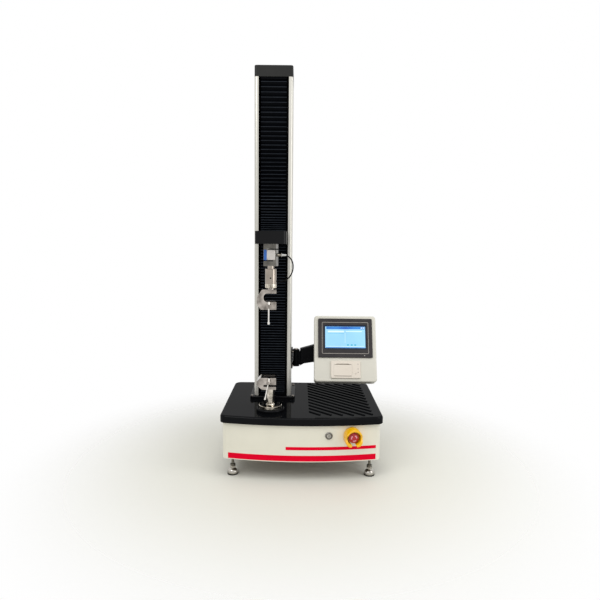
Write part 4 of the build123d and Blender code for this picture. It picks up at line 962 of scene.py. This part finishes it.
def add_stop_marks(materials):
    """Pale arcs on the stop button's dome, for the way that it turns."""
    point, normal = on_front(*stop_place, stop_head_front)
    place = facing(point, normal)
    dome_radius = (stop_head_radius ** 2 + stop_dome ** 2) / (2 * stop_dome)
    for number in range(arc_count):
        shape = bmesh.new()
        sections = []
        for step in range(arc_steps + 1):
            angle = 2 * pi * number / arc_count + radians(arc_sweep) * step / arc_steps
            wide = arrow_half_wide * step / arrow_steps if step < arrow_steps else arc_half_wide
            near, far = arc_middle - wide, arc_middle + wide
            section = []
            for reach, lift in ((near, 0), (near, arc_thick), (far, arc_thick), (far, 0)):
                drop = dome_radius - (dome_radius ** 2 - reach ** 2) ** 0.5
                section.append(shape.verts.new((reach * cos(angle), reach * sin(angle), lift - drop)))
            sections.append(section)
        join_rings(shape, sections)
        bmesh.ops.remove_doubles(shape, verts=shape.verts, dist=merge_gap)
        mesh = mesh_of("stop_arc", shape)
        add_piece(f"stop_arc_{number + 1}", mesh, place, materials["mark"], "stop_cap")


def guard_reach(turn):
    """Outer radius of the guard, a turn from its lowest point: a circle above, squarer below."""
    if cos(turn) <= 0:
        return guard_outer
    return guard_outer / (abs(sin(turn)) ** guard_square + cos(turn) ** guard_square) ** (1 / guard_square)


def guard_length(turn):
    """How far the guard stands out, less where a finger reaches in at each side."""
    aside = min(abs(turn - pi / 2), abs(turn - 3 * pi / 2)) / radians(guard_dip_half)
    return guard_long - guard_dip * max(0, 1 - aside ** 2) ** guard_dip_bend


def add_guard(materials):
    """The stop button's guard: a wall open at the bottom, with a softened rim, and its floor ring."""
    point, normal = on_front(*stop_place)
    place = facing(point, normal)
    side = guard_soft * guard_soft_side
    flat = guard_soft * guard_soft_flat
    shape = bmesh.new()
    first = asin(guard_gap_half / guard_inner)
    sections = []
    for step in range(guard_steps + 1):
        turn = first + (2 * pi - 2 * first) * step / guard_steps
        reach = guard_reach(turn)
        long = guard_length(turn)
        shoulder = long - guard_soft * guard_soft_drop
        profile = [
            (guard_inner, guard_back),
            (guard_inner, long - guard_soft),
            (guard_inner + side, shoulder),
            (guard_inner + flat, long),
            (reach - flat, long),
            (reach - side, shoulder),
            (reach, long - guard_soft),
            (reach, guard_back),
        ]
        sections.append([
            shape.verts.new((radius * sin(turn), -radius * cos(turn), out)) for radius, out in profile
        ])
    join_rings(shape, sections)
    mesh = mesh_of("guard_wall", shape)
    guard = add_piece("guard_wall", mesh, place, materials["guard"], "machine")
    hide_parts("estop_guard")
    band_ring(
        "guard_floor", (2 * guard_inner, 2 * guard_inner), guard_inner - guard_hole, guard_floor,
        guard_inner - guard_floor_less, place, materials["guard"], "machine",
    )


def add_feet(materials):
    """Domed levelling feet on rubber rims, each with a hexagon collar under its stud."""
    places = [(sx * foot_x, y, 0) for sx in (-1, 1) for y in foot_rows]
    for number, spot in enumerate(places, 1):
        place = standing(spot)
        pad = turned(f"foot_dome_{number}", foot_profile, place, materials["chrome"], "machine",
                     foot_hexagon)
        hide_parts("foot_pads")
        turned(f"foot_rim_{number}", foot_rim_profile, place, materials["rubber"], "machine")


def add_screws(materials):
    """Screws of the collar, flange, column, arm bracket and housing."""
    steel = materials["steel"]
    out = collar_screw_out
    number = 0
    for sx in (-1, 1):
        for y in (column_front - out, column_back + out):
            number += 1
            x = column_x + sx * (column_width / 2 + out)
            place = standing((x, y, collar_top))
            socket_screw(f"collar_screw_{number}", collar_screw, place, steel, "machine")
    for number in range(flange_screws):
        angle = 2 * pi * (number + 0.5) / flange_screws
        x = column_x + flange_screw_reach * cos(angle)
        y = load_y + flange_screw_reach * sin(angle)
        place = standing((x, y, flange_top))
        socket_screw(f"flange_screw_{number + 1}", flange_screw, place, materials["plastic"], "machine")
    for number, sx in enumerate((-1, 1), 1):
        for level, z in enumerate(back_screw_heights, 1):
            place = facing((column_x + sx * back_screw_aside, column_back, z), (0, 1, 0))
            socket_screw(f"column_back_screw_{number}_{level}", back_screw, place, steel, "machine")
    number = 0
    for y in bracket_screw_rows:
        for z in bracket_screw_heights:
            number += 1
            place = facing((column_x + column_width / 2 + bracket_thick, y, z), (1, 0, 0))
            socket_screw(f"bracket_screw_{number}", bracket_screw, place, steel, "machine")
    for number, x in enumerate(housing_screw_places, 1):
        place = facing((x, housing_back, housing_screw_height), (0, 1, 0))
        socket_screw(f"housing_screw_{number}", housing_screw, place, steel, "machine")


def add_camera():
    """The camera at the photograph's place, with its shift."""
    data = bpy.data.cameras.new("camera")
    data.lens = focal_pixels / image_pixels * sensor_width
    data.sensor_width = sensor_width
    data.shift_y = (centre_row - image_pixels / 2) / image_pixels
    camera = bpy.data.objects.new("camera", data)
    turn = Matrix.Rotation(radians(camera_yaw), 4, "Z") @ Matrix.Rotation(radians(90 - camera_pitch), 4, "X")
    turn = turn @ Matrix.Rotation(radians(camera_roll), 4, "Z")
    camera.matrix_world = Matrix.Translation(Vector(camera_place) * mm) @ turn
    bpy.context.scene.collection.objects.link(camera)
    bpy.context.scene.camera = camera


def add_lamp(name, place, target, size, power):
    """A soft rectangular lamp that faces a point, in metres and watts."""
    data = bpy.data.lights.new(name, "AREA")
    data.shape = "RECTANGLE"
    data.size, data.size_y = size
    data.energy = power
    lamp = bpy.data.objects.new(name, data)
    direction = Vector(target) - Vector(place)
    turn = direction.to_track_quat("-Z", "Y").to_matrix().to_4x4()
    lamp.matrix_world = Matrix.Translation(place) @ turn
    bpy.context.scene.collection.objects.link(lamp)


def add_world():
    """White behind the object and in its reflections, and a softer light on it."""
    world = bpy.data.worlds.new("studio")
    bpy.context.scene.world = world
    world.use_nodes = True
    tree = world.node_tree
    soft = tree.nodes["Background"]
    soft.inputs["Color"].default_value = white
    soft.inputs["Strength"].default_value = world_strength
    bright = tree.nodes.new("ShaderNodeBackground")
    bright.inputs["Color"].default_value = white
    path = tree.nodes.new("ShaderNodeLightPath")
    seen = math_node(tree, "MAXIMUM", path.outputs["Is Camera Ray"], path.outputs["Is Glossy Ray"])
    seen = math_node(tree, "MAXIMUM", seen, path.outputs["Is Transmission Ray"])
    mix = tree.nodes.new("ShaderNodeMixShader")
    link(tree, seen, mix.inputs["Fac"])
    link(tree, soft.outputs["Background"], mix.inputs[1])
    link(tree, bright.outputs["Background"], mix.inputs[2])
    link(tree, mix.outputs["Shader"], tree.nodes["World Output"].inputs["Surface"])


def add_floor():
    """A plain pale floor that fades into the white background."""
    shape = bmesh.new()
    bmesh.ops.create_circle(shape, cap_ends=True, radius=floor_radius, segments=floor_segments)
    mesh = mesh_of("floor", shape)
    floor = bpy.data.objects.new("floor", mesh)
    bpy.context.scene.collection.objects.link(floor)
    material, tree, shader = new_material("floor_pale")
    shader.inputs["Base Color"].default_value = srgb(*floor_colour)
    shader.inputs["Roughness"].default_value = floor_rough
    place = tree.nodes.new("ShaderNodeTexCoord")
    length = tree.nodes.new("ShaderNodeVectorMath")
    length.operation = "LENGTH"
    link(tree, place.outputs["Object"], length.inputs[0])
    fade = range_node(tree, length.outputs["Value"], floor_fade, (0, 1), "SMOOTHSTEP")
    clear = tree.nodes.new("ShaderNodeBsdfTransparent")
    mix = tree.nodes.new("ShaderNodeMixShader")
    link(tree, fade, mix.inputs["Fac"])
    link(tree, shader.outputs["BSDF"], mix.inputs[1])
    link(tree, clear.outputs["BSDF"], mix.inputs[2])
    link(tree, mix.outputs["Shader"], tree.nodes["Material Output"].inputs["Surface"])
    mesh.materials.append(material)


add_camera()
materials = {**paints_and_plastics(), **metals()}
add_lead(materials)
dress_nodes(materials)
add_bellows(
    "bellows_upper", crosshead_high, column_top, upper_pleats, upper_grade,
    column_top, crosshead_high, materials,
)
add_bellows(
    "bellows_lower", collar_top, crosshead_low, lower_pleats, lower_grade,
    collar_top, crosshead_low, materials,
)
add_stripe("front_stripe_low", low_stripe_left, stripe_right, low_stripe, materials["red"])
add_stripe("front_stripe_high", high_stripe_left, stripe_right, high_stripe, materials["red"])
add_cell_trim(materials)
add_display_trim(materials)
add_stop_marks(materials)
add_guard(materials)
add_feet(materials)
add_screws(materials)
# Painted shade inside the column's slot, partly also a dark inner finish
paint_slot_shade(materials["anodised"], srgb(*slot_shade_colour))
turned_rings(materials["table"], (column_x, load_y), table_ring_pitch, table_ring_strength)
add_floor()
add_world()
for lamp in lamps:
    add_lamp(*lamp)

bpy.context.scene.view_settings.view_transform = "Standard"
